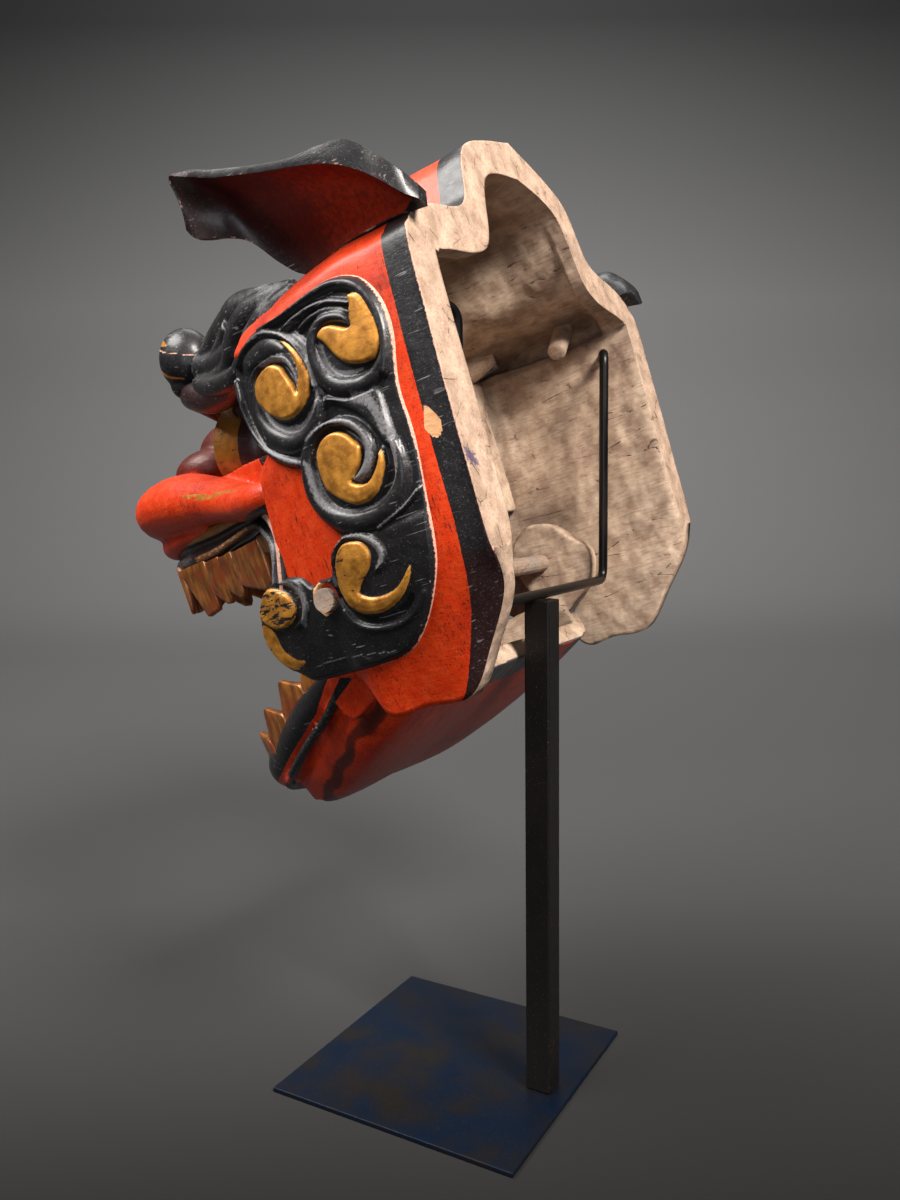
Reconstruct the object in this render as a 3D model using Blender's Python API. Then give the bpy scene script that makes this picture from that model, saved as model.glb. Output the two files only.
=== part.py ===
"""A Japanese lion dance head of carved, lacquered wood, on its plain black museum stand.

The head is one hollow carving: cheeks, brow, eyes, nose and upper lip. Its ears are let into the shoulders on
round tenons, and its jaw swings on a wooden axle between the cheeks. The stand is a steel plate with a square
post and a bent rod, whose two tips enter the side walls of the head. Metres, +Z up, the face looks to -Y. The
origin is the centre of the plate's underside.

The head is drawn in its own frame: its origin is the middle of the jaw axle, y runs back and z runs up along
the rear rim. An empty tips that frame nose down, as the head sits on the stand."""

from math import cos, pi, radians, sin

import bmesh
import bpy
from mathutils import Matrix, Vector

# Stand
PLATE_WIDTH = 0.165
PLATE_DEPTH = 0.167
PLATE_THICKNESS = 0.003
POST_SIDE = 0.016
POST_HEIGHT = 0.306
POST_INSET = 0.0191  # post axis to the rear edge of the plate
ROD_DIAMETER = 0.006
ROD_BEND = 0.009
ROD_SPREAD = 0.100  # rod upright from the middle
ROD_RISE = 0.151  # from the level run to the level tips
ROD_TIP_FORWARD = 0.016

# Head
HEAD_WIDTH = 0.306
HEAD_LENGTH = 0.300  # rear rim to the front of the upper lip
REAR_REACH = 0.097  # jaw axle to the rear rim
CROWN_HEIGHT = 0.225  # jaw axle to the top of the crown, along the rim
NOSE_DOWN = 16.5  # degrees
AXLE_AHEAD = 0.048  # jaw axle ahead of the post axis
AXLE_HEIGHT = 0.322  # jaw axle above the underside of the plate
WALL = 0.024
CROWN_WALL = 0.022
UNDERCUT = 0.60  # share of the roof's thickness that is left behind the rear rim
LIP_ROLL = 0.030
BROW_ROLL = 0.017
CURL = 0.014  # radius of a cheek curl's gilded boss
RELIEF = 0.006
EYE_RADIUS = 0.026
TOOTH = 0.028
AXLE_DIAMETER = 0.012
AXLE_LENGTH = 0.300

# Jaw
JAW_WIDTH = 0.234
JAW_LENGTH = 0.176  # axle to the front of the lower lip
JAW_DEPTH = 0.058  # axle to the lowest part of the jaw
JAW_WALL = 0.012
JAW_OPEN = 30.0  # degrees, from teeth together to the open rest
JAW_LIP = 0.012

# Ears
EAR_LENGTH = 0.126
EAR_HEIGHT = 0.064
EAR_WALL = 0.010
PEG_DIAMETER = 0.013
PEG_LENGTH = 0.047
PEG_SLOPE = 38.0  # degrees below level
PEG_SEAT = (0.93, 0.135, 0.75)  # out, along and up, as in the tables below

CLEARANCE = 0.0003
HOLE_CLEARANCE = 0.0006
EAR_ROOM = 0.0013  # the seat cut for an ear is this much larger than the ear

HEAD_VOXEL = 0.0036
HEAD_FACES = 0.080  # share of the merged skin's faces that is kept
JAW_VOXEL = 0.0034
JAW_FACES = 0.085
EAR_VOXEL = 0.0028
EAR_FACES = 0.09

HALF_WIDTH = HEAD_WIDTH / 2
POST_Y = PLATE_DEPTH / 2 - POST_INSET
POST_TOP = PLATE_THICKNESS + CLEARANCE + POST_HEIGHT
AXLE_PLACE = Vector((0, POST_Y - AXLE_AHEAD, AXLE_HEIGHT))

# The hollow carving in sections from the rear rim forward. Widths are shares of HALF_WIDTH, heights shares of
# CROWN_HEIGHT over the axle, "along" the share of HEAD_LENGTH from the rim and "wall" the share of WALL.
SECTION_COLUMNS = ("along", "foot_w", "foot_h", "knee_w", "knee_h", "side_w", "side_h", "corner_w", "corner_h",
                   "shoulder_w", "shoulder_h", "step_w", "step_h", "hump_w", "hump_h", "crown_h", "wall")
SHELL_SECTIONS = (
    (0.000, 0.98, 0.00, 1.00, 0.07, 1.00, 0.58, 0.95, 0.68, 0.81, 0.73, 0.54, 0.78, 0.41, 0.94, 1.03, 1.00),
    (0.016, 0.92, -0.08, 0.99, 0.07, 1.00, 0.58, 0.95, 0.68, 0.81, 0.73, 0.54, 0.78, 0.41, 0.94, 1.03, 1.00),
    (0.072, 0.88, -0.18, 0.99, 0.06, 1.00, 0.57, 0.95, 0.68, 0.80, 0.73, 0.54, 0.78, 0.40, 0.94, 1.03, 0.97),
    (0.135, 0.86, -0.275, 0.99, 0.06, 1.00, 0.57, 0.95, 0.68, 0.80, 0.73, 0.54, 0.78, 0.40, 0.94, 1.02, 0.94),
    (0.220, 0.86, -0.28, 0.98, 0.05, 0.99, 0.56, 0.93, 0.67, 0.77, 0.73, 0.52, 0.77, 0.37, 0.93, 1.00, 0.90),
    (0.295, 0.86, -0.28, 0.96, 0.04, 0.97, 0.54, 0.90, 0.66, 0.73, 0.72, 0.50, 0.77, 0.35, 0.92, 0.98, 0.85),
    (0.335, 0.86, -0.19, 0.94, 0.03, 0.95, 0.53, 0.88, 0.65, 0.71, 0.72, 0.48, 0.76, 0.34, 0.90, 0.97, 0.80),
    (0.405, 0.85, -0.16, 0.91, 0.02, 0.92, 0.51, 0.85, 0.64, 0.68, 0.71, 0.46, 0.76, 0.32, 0.88, 0.94, 0.70),
    (0.430, 0.84, -0.10, 0.89, 0.02, 0.90, 0.50, 0.83, 0.63, 0.66, 0.70, 0.45, 0.75, 0.31, 0.87, 0.93, 0.65),
)
FACE_SECTIONS = (
    (0.425, 0.82, 0.19, 0.87, 0.25, 0.90, 0.50, 0.83, 0.63, 0.66, 0.70, 0.45, 0.75, 0.29, 0.85, 0.90, 0.0),
    (0.470, 0.76, 0.22, 0.83, 0.28, 0.85, 0.49, 0.78, 0.61, 0.62, 0.68, 0.42, 0.73, 0.26, 0.83, 0.87, 0.0),
    (0.520, 0.68, 0.23, 0.76, 0.30, 0.78, 0.48, 0.71, 0.59, 0.57, 0.66, 0.40, 0.71, 0.24, 0.80, 0.84, 0.0),
    (0.585, 0.56, 0.24, 0.63, 0.33, 0.65, 0.46, 0.60, 0.57, 0.51, 0.64, 0.37, 0.69, 0.22, 0.77, 0.80, 0.0),
    (0.650, 0.46, 0.25, 0.51, 0.35, 0.53, 0.45, 0.49, 0.55, 0.43, 0.61, 0.33, 0.65, 0.20, 0.72, 0.75, 0.0),
    (0.690, 0.40, 0.26, 0.43, 0.36, 0.44, 0.45, 0.42, 0.53, 0.37, 0.57, 0.28, 0.60, 0.16, 0.64, 0.66, 0.0),
)

# Rolls follow a path through rows of: out, along and up, as shares of half width, head length and crown height,
# and the roll's half thickness across and up, as shares of its own named size.
ROLL_COLUMNS = ("out", "along", "up", "across", "rise")
UPPER_LIP = (
    (0.84, 0.432, 0.07, 0.27, 0.27),
    (0.81, 0.447, 0.18, 0.30, 0.30),
    (0.73, 0.497, 0.28, 0.40, 0.40),
    (0.62, 0.582, 0.325, 0.50, 0.48),
    (0.52, 0.690, 0.335, 0.62, 0.56),
    (0.45, 0.810, 0.36, 0.84, 0.80),
    (0.33, 0.905, 0.38, 0.98, 0.90),
    (0.16, 0.945, 0.385, 0.86, 0.80),
    (0.00, 0.945, 0.375, 0.72, 0.66),
)
LIP_EDGE = (
    (0.84, 0.428, 0.05, 0.20, 0.20),
    (0.80, 0.455, 0.17, 0.23, 0.23),
    (0.72, 0.500, 0.245, 0.25, 0.25),
    (0.61, 0.590, 0.255, 0.27, 0.27),
    (0.51, 0.695, 0.245, 0.28, 0.28),
    (0.43, 0.825, 0.225, 0.30, 0.30),
    (0.32, 0.930, 0.24, 0.30, 0.32),
    (0.16, 0.970, 0.26, 0.30, 0.34),
    (0.00, 0.975, 0.265, 0.30, 0.34),
)
BROW = (
    (0.74, 0.30, 0.715, 0.60, 0.60),
    (0.66, 0.39, 0.735, 0.90, 0.85),
    (0.61, 0.47, 0.750, 1.05, 0.95),
    (0.56, 0.55, 0.735, 1.10, 1.00),
    (0.52, 0.63, 0.725, 1.00, 0.95),
    (0.50, 0.69, 0.745, 0.90, 0.90),
)
LID = (
    (0.66, 0.49, 0.60, 0.55, 0.55),
    (0.58, 0.58, 0.60, 0.65, 0.65),
    (0.49, 0.67, 0.625, 0.70, 0.65),
    (0.36, 0.72, 0.635, 0.65, 0.60),
    (0.20, 0.72, 0.60, 0.45, 0.45),
)
# Knobs and swellings: centre as above, then half sizes across, along and up as shares of LIP_ROLL.
SWELLING_COLUMNS = ("out", "along", "up", "across", "deep", "rise")
PAIRED_SWELLINGS = (
    (0.50, 0.705, 0.77, 0.62, 0.60, 0.62),
    (0.16, 0.860, 0.52, 0.66, 0.90, 0.54),
)
MIDDLE_SWELLINGS = (
    (0.0, 0.800, 0.56, 1.10, 1.15, 0.92),
    (0.0, 0.920, 0.55, 0.80, 0.62, 0.50),
)
PALATE = (  # along, half width, underside, top
    (0.43, 0.70, 0.215, 0.40),
    (0.58, 0.58, 0.215, 0.42),
    (0.72, 0.46, 0.215, 0.43),
    (0.86, 0.37, 0.225, 0.42),
    (0.93, 0.26, 0.25, 0.40),
)
# Cheek curls: centre along and up, radius as a share of CURL, and the angle where the tail leaves, in degrees.
CURL_COLUMNS = ("along", "up", "size", "tail_at", "tail_turn")
CURLS = (
    (0.290, 0.455, 1.05, 60, 130),
    (0.150, 0.490, 0.95, 75, 150),
    (0.205, 0.245, 1.20, -20, -140),
    (0.230, 0.040, 1.10, -150, 140),
)
LOBE = (  # along, up: outline of the lowest curl and the black panel under it, seen from the side
    (0.36, 0.10), (0.42, 0.085), (0.46, 0.095), (0.497, 0.055), (0.507, 0.00), (0.500, -0.05), (0.46, -0.12),
    (0.41, -0.165), (0.36, -0.18), (0.33, -0.10),
)
TOOTH_COLUMNS = ("out", "along", "width", "tip")
UPPER_TEETH = (  # out and along as above, width as a share of TOOTH, tip height as a share of CROWN_HEIGHT
    (0.52, 0.605, 0.72, 0.10), (0.46, 0.690, 0.74, 0.095), (0.41, 0.760, 0.52, 0.11), (0.38, 0.820, 0.50, 0.12),
    (0.355, 0.878, 0.58, 0.085), (0.26, 0.925, 0.48, 0.15), (0.155, 0.945, 0.48, 0.155), (0.05, 0.95, 0.48, 0.155),
)
# Jaw, closed: along is the share of JAW_LENGTH ahead of the axle, w of half JAW_WIDTH, heights of JAW_DEPTH.
JAW_COLUMNS = ("along", "w", "top_h", "side_h", "bottom_h")
JAW_SECTIONS = (
    (0.060, 0.975, -0.42, -0.66, -1.00),
    (0.150, 0.965, -0.38, -0.70, -1.00),
    (0.300, 0.925, -0.30, -0.74, -1.00),
    (0.450, 0.855, -0.23, -0.73, -0.98),
    (0.570, 0.770, -0.19, -0.70, -0.95),
    (0.720, 0.660, -0.17, -0.66, -0.88),
    (0.840, 0.550, -0.15, -0.58, -0.76),
)
CHIN = (  # along, half width, underside, top
    (0.80, 0.57, -0.77, -0.22),
    (0.89, 0.47, -0.63, -0.17),
    (0.955, 0.34, -0.48, -0.15),
)
PLATE_OUTLINE = (  # the side plate round the axle and the arm under it: back and up, shares of JAW_DEPTH
    (0.02, 0.46), (0.24, 0.42), (0.42, 0.22), (0.48, -0.03), (0.54, -0.32), (0.31, -0.57), (-0.05, -0.64),
    (-0.90, -0.72), (-0.90, -0.33), (-0.46, -0.30), (-0.34, 0.10), (-0.22, 0.36),
)
JAW_LIP_PATH = (  # out, along, up, then half thicknesses as shares of JAW_LIP
    (0.95, 0.15, -0.40, 0.5, 0.5),
    (0.91, 0.30, -0.29, 0.7, 0.7),
    (0.84, 0.45, -0.22, 0.8, 0.85),
    (0.76, 0.57, -0.19, 0.9, 0.9),
    (0.655, 0.72, -0.18, 0.95, 1.0),
    (0.52, 0.86, -0.17, 1.0, 1.05),
    (0.32, 0.94, -0.155, 1.0, 1.05),
    (0.12, 0.965, -0.15, 1.0, 1.05),
    (0.00, 0.97, -0.15, 1.0, 1.05),
)
LOWER_TEETH = (  # out, along, width share of TOOTH, tip height as a share of JAW_DEPTH
    (0.81, 0.395, 0.52, 0.10), (0.775, 0.480, 0.54, 0.34), (0.705, 0.590, 0.52, 0.20), (0.645, 0.685, 0.56, 0.36),
    (0.57, 0.780, 0.50, 0.24), (0.48, 0.860, 0.56, 0.32), (0.35, 0.920, 0.52, 0.18), (0.21, 0.945, 0.52, 0.18),
    (0.07, 0.950, 0.52, 0.18),
)
# Left ear, a cupped leaf in slices from its rear corner forward: where its lower and upper edge lie out and up
# from the rear corner, as shares of EAR_HEIGHT, how deep it is cupped and how thick it is, as a share of EAR_WALL.
EAR_COLUMNS = ("along", "low_out", "low_up", "high_out", "high_up", "cup", "wall")
EAR_SECTIONS = (
    (0.00, 0.00, 0.00, 0.06, 0.08, 0.00, 1.00),
    (0.09, -0.02, 0.02, 0.20, 0.39, 0.05, 1.10),
    (0.21, -0.05, 0.05, 0.31, 0.60, 0.10, 1.15),
    (0.37, -0.09, 0.06, 0.39, 0.66, 0.16, 1.10),
    (0.56, -0.19, 0.06, 0.44, 0.62, 0.20, 1.00),
    (0.75, -0.30, 0.09, 0.44, 0.66, 0.22, 0.85),
    (0.84, -0.16, 0.34, 0.41, 0.80, 0.15, 0.70),
    (0.92, 0.06, 0.50, 0.34, 0.90, 0.08, 0.60),
    (1.00, 0.14, 0.61, 0.23, 1.02, 0.02, 0.55),
)


def clear_scene():
    for item in list(bpy.data.objects):
        bpy.data.objects.remove(item)


def finish(name, colour, roughness, metallic=0.0):
    """A plain finish: a Principled BSDF with a linear colour."""
    material = bpy.data.materials.new(name)
    material.use_nodes = True
    shader = material.node_tree.nodes["Principled BSDF"]
    shader.inputs["Base Color"].default_value = (*colour, 1)
    shader.inputs["Roughness"].default_value = roughness
    shader.inputs["Metallic"].default_value = metallic
    return material


def rows(columns, table):
    return [dict(zip(columns, row)) for row in table]


def catmull(points, spans):
    """A smooth curve through the points, with the given number of steps between two of them."""
    curve = []
    for i in range(len(points) - 1):
        a, b, c, d = (points[max(0, min(len(points) - 1, i + k))] for k in (-1, 0, 1, 2))
        for step in range(spans):
            t = step / spans
            curve.append(0.5 * (2 * b + (c - a) * t + (2 * a - 5 * b + 4 * c - d) * t * t
                                + (3 * b - a - 3 * c + d) * t ** 3))
    curve.append(points[-1].copy())
    return curve


def blended_rows(table_rows, spans):
    """Extra rows between the rows of a table, on a smooth curve through every column."""
    keys = list(table_rows[0])
    blended = []
    for i in range(len(table_rows) - 1):
        for step in range(spans):
            t = step / spans
            row = {}
            for key in keys:
                a, b, c, d = (table_rows[max(0, min(len(table_rows) - 1, i + k))][key] for k in (-1, 0, 1, 2))
                row[key] = 0.5 * (2 * b + (c - a) * t + (2 * a - 5 * b + 4 * c - d) * t * t
                                  + (3 * b - a - 3 * c + d) * t ** 3)
            blended.append(row)
    blended.append(dict(table_rows[-1]))
    return blended


def head_place(out, along, up):
    return Vector((out * HALF_WIDTH, REAR_REACH - along * HEAD_LENGTH, up * CROWN_HEIGHT))


def jaw_place(out, along, up):
    return Vector((out * JAW_WIDTH / 2, -along * JAW_LENGTH, up * JAW_DEPTH))


class Carving:
    """Closed forms that overlap, gathered in one mesh before they are merged into one solid."""

    def __init__(self):
        self.mesh = bmesh.new()

    def quad_strip(self, first, second, closed):
        count = len(first) if closed else len(first) - 1
        for i in range(count):
            j = (i + 1) % len(first)
            self.mesh.faces.new((first[i], first[j], second[j], second[i]))

    def rings(self, loops):
        """A solid through closed loops of points, with flat ends."""
        verts = [[self.mesh.verts.new(point) for point in loop] for loop in loops]
        for first, second in zip(verts, verts[1:]):
            self.quad_strip(first, second, True)
        self.mesh.faces.new(verts[0][::-1])
        self.mesh.faces.new(verts[-1])

    def arch(self, outer_lines, inner_lines):
        """A wall between an outer and an inner skin, each given as open lines with as many points."""
        outer = [[self.mesh.verts.new(point) for point in line] for line in outer_lines]
        inner = [[self.mesh.verts.new(point) for point in line] for line in inner_lines]
        for first, second in zip(outer, outer[1:]):
            self.quad_strip(first, second, False)
        for first, second in zip(inner, inner[1:]):
            self.quad_strip(second, first, False)
        self.quad_strip(inner[0], outer[0], False)
        self.quad_strip(outer[-1], inner[-1], False)
        for edge in (0, -1):
            for i in range(len(outer) - 1):
                self.mesh.faces.new((outer[i][edge], outer[i + 1][edge], inner[i + 1][edge], inner[i][edge]))

    def roll(self, path, across, rise, sides=12):
        """A round roll along a path of points, with a half thickness across and up at each point."""
        loops = []
        for i, centre in enumerate(path):
            ahead = (path[min(i + 1, len(path) - 1)] - path[max(i - 1, 0)]).normalized()
            side = ahead.cross(Vector((0, 0, 1)))
            side = side.normalized() if side.length > 0.2 else Vector((1, 0, 0))
            up = side.cross(ahead).normalized()
            loops.append([centre + side * (across[i] * cos(a)) + up * (rise[i] * sin(a))
                          for a in (2 * pi * k / sides for k in range(sides))])
        self.rings(loops)

    def swelling(self, centre, half_sizes):
        matrix = Matrix.Translation(centre) @ Matrix.Diagonal((*half_sizes, 1))
        bmesh.ops.create_icosphere(self.mesh, subdivisions=2, radius=1, matrix=matrix)

    def panel(self, outline, x_inside, x_outside):
        """An outline seen from the side, as thick as from one x to another."""
        self.rings([[Vector((x, y, z)) for y, z in outline] for x in (x_inside, x_outside)])

    def tooth(self, centre, ahead, width, thickness, root, tip):
        """A wedge whose edge lies along the row of teeth."""
        side = Vector((-ahead.y, ahead.x, 0))
        loops = []
        for height, reach, depth in ((root, 0.5, 0.5), (tip, 0.22, 0.16)):
            loops.append([Vector((centre.x, centre.y, height)) + ahead * (u * reach * width)
                          + side * (v * depth * thickness) for u, v in ((-1, -1), (1, -1), (1, 1), (-1, 1))])
        self.rings(loops)

    def mirror(self):
        """Adds the other half: every form so far, mirrored in x."""
        copy = bmesh.ops.duplicate(self.mesh, geom=self.mesh.verts[:] + self.mesh.edges[:] + self.mesh.faces[:])
        for item in copy["geom"]:
            if isinstance(item, bmesh.types.BMVert):
                item.co.x = -item.co.x
        for item in copy["geom"]:
            if isinstance(item, bmesh.types.BMFace):
                item.normal_flip()

    def done(self, name):
        bmesh.ops.recalc_face_normals(self.mesh, faces=self.mesh.faces[:])
        mesh = bpy.data.meshes.new(name)
        self.mesh.to_mesh(mesh)
        self.mesh.free()
        return mesh


def node(name, mesh, material, parent=None):
    item = bpy.data.objects.new(name, mesh)
    bpy.context.scene.collection.objects.link(item)
    item.parent = parent
    if material:
        mesh.materials.append(material)
    return item


def merge(item, voxel, share, grow=0.0):
    """Merges the overlapping forms into one skin, thins it, and may grow it into a clearance cutter."""
    remesh = item.modifiers.new("one_skin", "REMESH")
    remesh.mode = "VOXEL"
    remesh.voxel_size = voxel
    thin = item.modifiers.new("fewer_faces", "DECIMATE")
    thin.ratio = share
    if grow:
        swell = item.modifiers.new("clearance", "DISPLACE")
        swell.strength = grow
        swell.mid_level = 0


def cut(item, cutter):
    cutter.hide_render = True
    cutter.display_type = "WIRE"
    hole = item.modifiers.new("cut_" + cutter.name, "BOOLEAN")
    hole.operation = "DIFFERENCE"
    hole.object = cutter


def rod_mesh(name, start, end, diameter, sides):
    """A plain round bar between two points."""
    mesh = bmesh.new()
    along = end - start
    turn = along.to_track_quat("Z", "Y").to_matrix().to_4x4()
    matrix = Matrix.Translation((start + end) / 2) @ turn
    bmesh.ops.create_cone(mesh, cap_ends=True, segments=sides, radius1=diameter / 2, radius2=diameter / 2,
                          depth=along.length, matrix=matrix)
    data = bpy.data.meshes.new(name)
    mesh.to_mesh(data)
    mesh.free()
    return data


def box_mesh(name, low, high):
    mesh = bmesh.new()
    matrix = Matrix.Translation((low + high) / 2) @ Matrix.Diagonal((*(high - low), 1))
    bmesh.ops.create_cube(mesh, size=1, matrix=matrix)
    data = bpy.data.meshes.new(name)
    mesh.to_mesh(data)
    mesh.free()
    return data


def soften(item, width):
    bevel = item.modifiers.new("soft_edges", "BEVEL")
    bevel.width = width
    bevel.segments = 2


PROFILE_KEYS = ("foot", "knee", "side", "corner", "shoulder", "step", "hump")


def half_profile(row):
    points = [Vector((row[key + "_w"] * HALF_WIDTH, row[key + "_h"] * CROWN_HEIGHT)) for key in PROFILE_KEYS]
    points.append(Vector((0, row["crown_h"] * CROWN_HEIGHT)))
    return points


def inner_profile(row):
    """The inner face of a section: each key point moves in by its own share of the wall. Behind the rim the
    roof over the ledge is cut thinner."""
    wall = row["wall"] * WALL
    shifts = {"foot": (0.45, 0.0), "knee": (1.08, 0.0), "side": (1.0, 0.1), "corner": (0.85, 0.5),
              "shoulder": (0.35, 0.85), "step": (0.6, 0.85), "hump": (0.7, 0.55)}
    points = []
    for key, outer in zip(PROFILE_KEYS, half_profile(row)):
        inward, downward = shifts[key]
        if row["along"] > 0.03 and key in ("corner", "shoulder", "step"):
            downward *= UNDERCUT
        points.append(Vector((outer.x - inward * wall, outer.y - downward * wall)))
    points.append(Vector((0, row["crown_h"] * CROWN_HEIGHT - CROWN_WALL)))
    return points


def whole_line(half, y):
    """A half profile and its mirror as one line of points at a place along the head."""
    smooth = catmull(half, 3)
    right = [Vector((-p.x, y, p.y)) for p in smooth[:-1]]
    left = [Vector((p.x, y, p.y)) for p in reversed(smooth)]
    return right + left


def side_surface(along):
    """How far out the cheek lies at a place along the head."""
    table = blended_rows(rows(SECTION_COLUMNS, SHELL_SECTIONS + FACE_SECTIONS[1:]), 4)
    below = [row for row in table if row["along"] <= along][-1]
    above = [row for row in table if row["along"] >= along][0]
    span = above["along"] - below["along"]
    share = (along - below["along"]) / span if span else 0
    return HALF_WIDTH * (below["side_w"] * (1 - share) + above["side_w"] * share)


def along_path(table, size, place):
    steps = blended_rows(rows(ROLL_COLUMNS, table), 3)
    path = [place(row["out"], row["along"], row["up"]) for row in steps]
    return path, [row["across"] * size for row in steps], [row["rise"] * size for row in steps]


def add_curl(carving, row):
    """A cheek curl: a low round boss, its tail, and the raised scroll that runs round both."""
    radius = row["size"] * CURL
    y = REAR_REACH - row["along"] * HEAD_LENGTH
    z = row["up"] * CROWN_HEIGHT
    x = side_surface(row["along"])
    carving.swelling(Vector((x, y, z)), (RELIEF, radius, radius))
    ring = []
    for step in range(13):
        turn = radians(row["tail_at"] + step * 1.75 * row["tail_turn"] / 12)
        reach = radius * (1.75 - 0.25 * step / 12)
        ring.append(Vector((x, y + reach * cos(turn), z + reach * sin(turn))))
    thick = [RELIEF * (0.6 + 0.4 * sin(pi * step / 12)) for step in range(13)]
    carving.roll(ring, thick, thick, 8)


def add_teeth(carving, table, place, root, depth):
    """A row of teeth, each turned to follow the row."""
    teeth = rows(TOOTH_COLUMNS, table)
    spots = [place(row["out"], row["along"], 0) for row in teeth]
    for i, row in enumerate(teeth):
        ahead = (spots[min(i + 1, len(spots) - 1)] - spots[max(i - 1, 0)]).normalized()
        carving.tooth(spots[i], ahead, row["width"] * TOOTH, TOOTH * 0.42, root, row["tip"] * depth)


def head_carving():
    carving = Carving()
    # One side of what comes in pairs
    for table, size in ((UPPER_LIP, LIP_ROLL), (LIP_EDGE, LIP_ROLL), (BROW, BROW_ROLL), (LID, BROW_ROLL)):
        path, across, rise = along_path(table, size, head_place)
        carving.roll(path, across, rise)
    for row in rows(SWELLING_COLUMNS, PAIRED_SWELLINGS):
        half_sizes = [row[key] * LIP_ROLL for key in ("across", "deep", "rise")]
        carving.swelling(head_place(row["out"], row["along"], row["up"]), half_sizes)
    eye = head_place(0.30, 0.655, 0.50)
    front = eye + Vector((0.004, -0.014, 0))
    carving.rings([[centre + Vector((reach * cos(a), 0, reach * sin(a))) for a in (pi * k / 10 for k in range(20))]
                   for centre, reach in ((eye + Vector((0, 0.03, 0)), EYE_RADIUS), (front, EYE_RADIUS),
                                         (front + Vector((0, -0.006, 0)), EYE_RADIUS * 0.6))])
    for row in rows(CURL_COLUMNS, CURLS):
        add_curl(carving, row)
    lobe = [(REAR_REACH - along * HEAD_LENGTH, up * CROWN_HEIGHT) for along, up in LOBE]
    carving.panel(lobe, HALF_WIDTH * 0.785, HALF_WIDTH * 0.88)
    carving.swelling(head_place(0.87, 0.455, 0.02), (RELIEF, CURL, CURL))
    add_teeth(carving, UPPER_TEETH, head_place, 0.25 * CROWN_HEIGHT, CROWN_HEIGHT)
    carving.mirror()
    # Across the middle
    shell = blended_rows(rows(SECTION_COLUMNS, SHELL_SECTIONS), 3)
    places = [REAR_REACH - row["along"] * HEAD_LENGTH for row in shell]
    carving.arch([whole_line(half_profile(row), y) for row, y in zip(shell, places)],
                 [whole_line(inner_profile(row), y) for row, y in zip(shell, places)])
    face = blended_rows(rows(SECTION_COLUMNS, FACE_SECTIONS), 3)
    carving.rings([whole_line(half_profile(row), REAR_REACH - row["along"] * HEAD_LENGTH) for row in face])
    for row in rows(SWELLING_COLUMNS, MIDDLE_SWELLINGS):
        half_sizes = [row[key] * LIP_ROLL for key in ("across", "deep", "rise")]
        carving.swelling(head_place(row["out"], row["along"], row["up"]), half_sizes)
    carving.rings([[head_place(s * width, along, h) for s, h in ((1, low), (1, top), (-1, top), (-1, low))]
                   for along, width, low, top in PALATE])
    return carving.done("head_shell")


def jaw_lines(row):
    """The outer and inner half profile of the jaw's tray at one section."""
    w = row["w"] * JAW_WIDTH / 2
    top = row["top_h"] * JAW_DEPTH
    side = row["side_h"] * JAW_DEPTH
    low = row["bottom_h"] * JAW_DEPTH
    outer = [Vector((w, top)), Vector((w, side)), Vector((w * 0.68, low * 0.94 + side * 0.06)), Vector((0, low))]
    inner = [Vector((w - JAW_WALL, top)), Vector((w - JAW_WALL, side + JAW_WALL * 0.4)),
             Vector((w * 0.64, low * 0.94 + side * 0.06 + JAW_WALL)), Vector((0, low + JAW_WALL))]
    return outer, inner


def jaw_carving():
    carving = Carving()
    plate = [(back * JAW_DEPTH, up * JAW_DEPTH) for back, up in PLATE_OUTLINE]
    outside = JAW_WIDTH / 2
    carving.panel(plate, outside - JAW_WALL, outside)
    path, across, rise = along_path(JAW_LIP_PATH, JAW_LIP, jaw_place)
    carving.roll(path, across, rise)
    add_teeth(carving, LOWER_TEETH, jaw_place, -0.25 * JAW_DEPTH, JAW_DEPTH)
    carving.mirror()
    trough = blended_rows(rows(JAW_COLUMNS, JAW_SECTIONS), 2)
    outer, inner = zip(*(jaw_lines(row) for row in trough))
    places = [-row["along"] * JAW_LENGTH for row in trough]
    carving.arch([whole_line(line, y) for line, y in zip(outer, places)],
                 [whole_line(line, y) for line, y in zip(inner, places)])
    carving.rings([[jaw_place(s * width, along, h) for s, h in ((1, low), (1, top), (-1, top), (-1, low))]
                   for along, width, low, top in CHIN])
    return carving.done("jaw")


def ear_carving():
    """The left ear in the head's frame: a cupped leaf on the shoulder, with the tenon that holds it."""
    carving = Carving()
    corner = head_place(0.935, -0.03, 0.70)
    loops = []
    for row in blended_rows(rows(EAR_COLUMNS, EAR_SECTIONS), 3):
        y = corner.y - row["along"] * EAR_LENGTH
        low = corner + Vector((row["low_out"] * EAR_HEIGHT, 0, row["low_up"] * EAR_HEIGHT))
        high = corner + Vector((row["high_out"] * EAR_HEIGHT, 0, row["high_up"] * EAR_HEIGHT))
        across = Vector((high.z - low.z, 0, low.x - high.x)).normalized()
        shares = [k / 6 for k in range(7)]
        face = [low.lerp(high, t) - across * (row["cup"] * EAR_HEIGHT * 4 * t * (1 - t)) for t in shares]
        back = [point - across * (row["wall"] * EAR_WALL) for point in face]
        loops.append([Vector((point.x, y, point.z)) for point in face + back[::-1]])
    carving.rings(loops)
    seat = head_place(*PEG_SEAT)
    slope = Vector((-cos(radians(PEG_SLOPE)), 0, -sin(radians(PEG_SLOPE))))
    path = [seat, seat + slope * PEG_LENGTH * 0.5, seat + slope * PEG_LENGTH]
    reach = [PEG_DIAMETER / 2] * 3
    carving.roll(path, reach, reach, 12)
    return carving.done("left_ear")


def mirrored_copy(mesh, name):
    copy = mesh.copy()
    copy.name = name
    copy.transform(Matrix.Scale(-1, 4, (1, 0, 0)))
    copy.flip_normals()
    return copy


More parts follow.
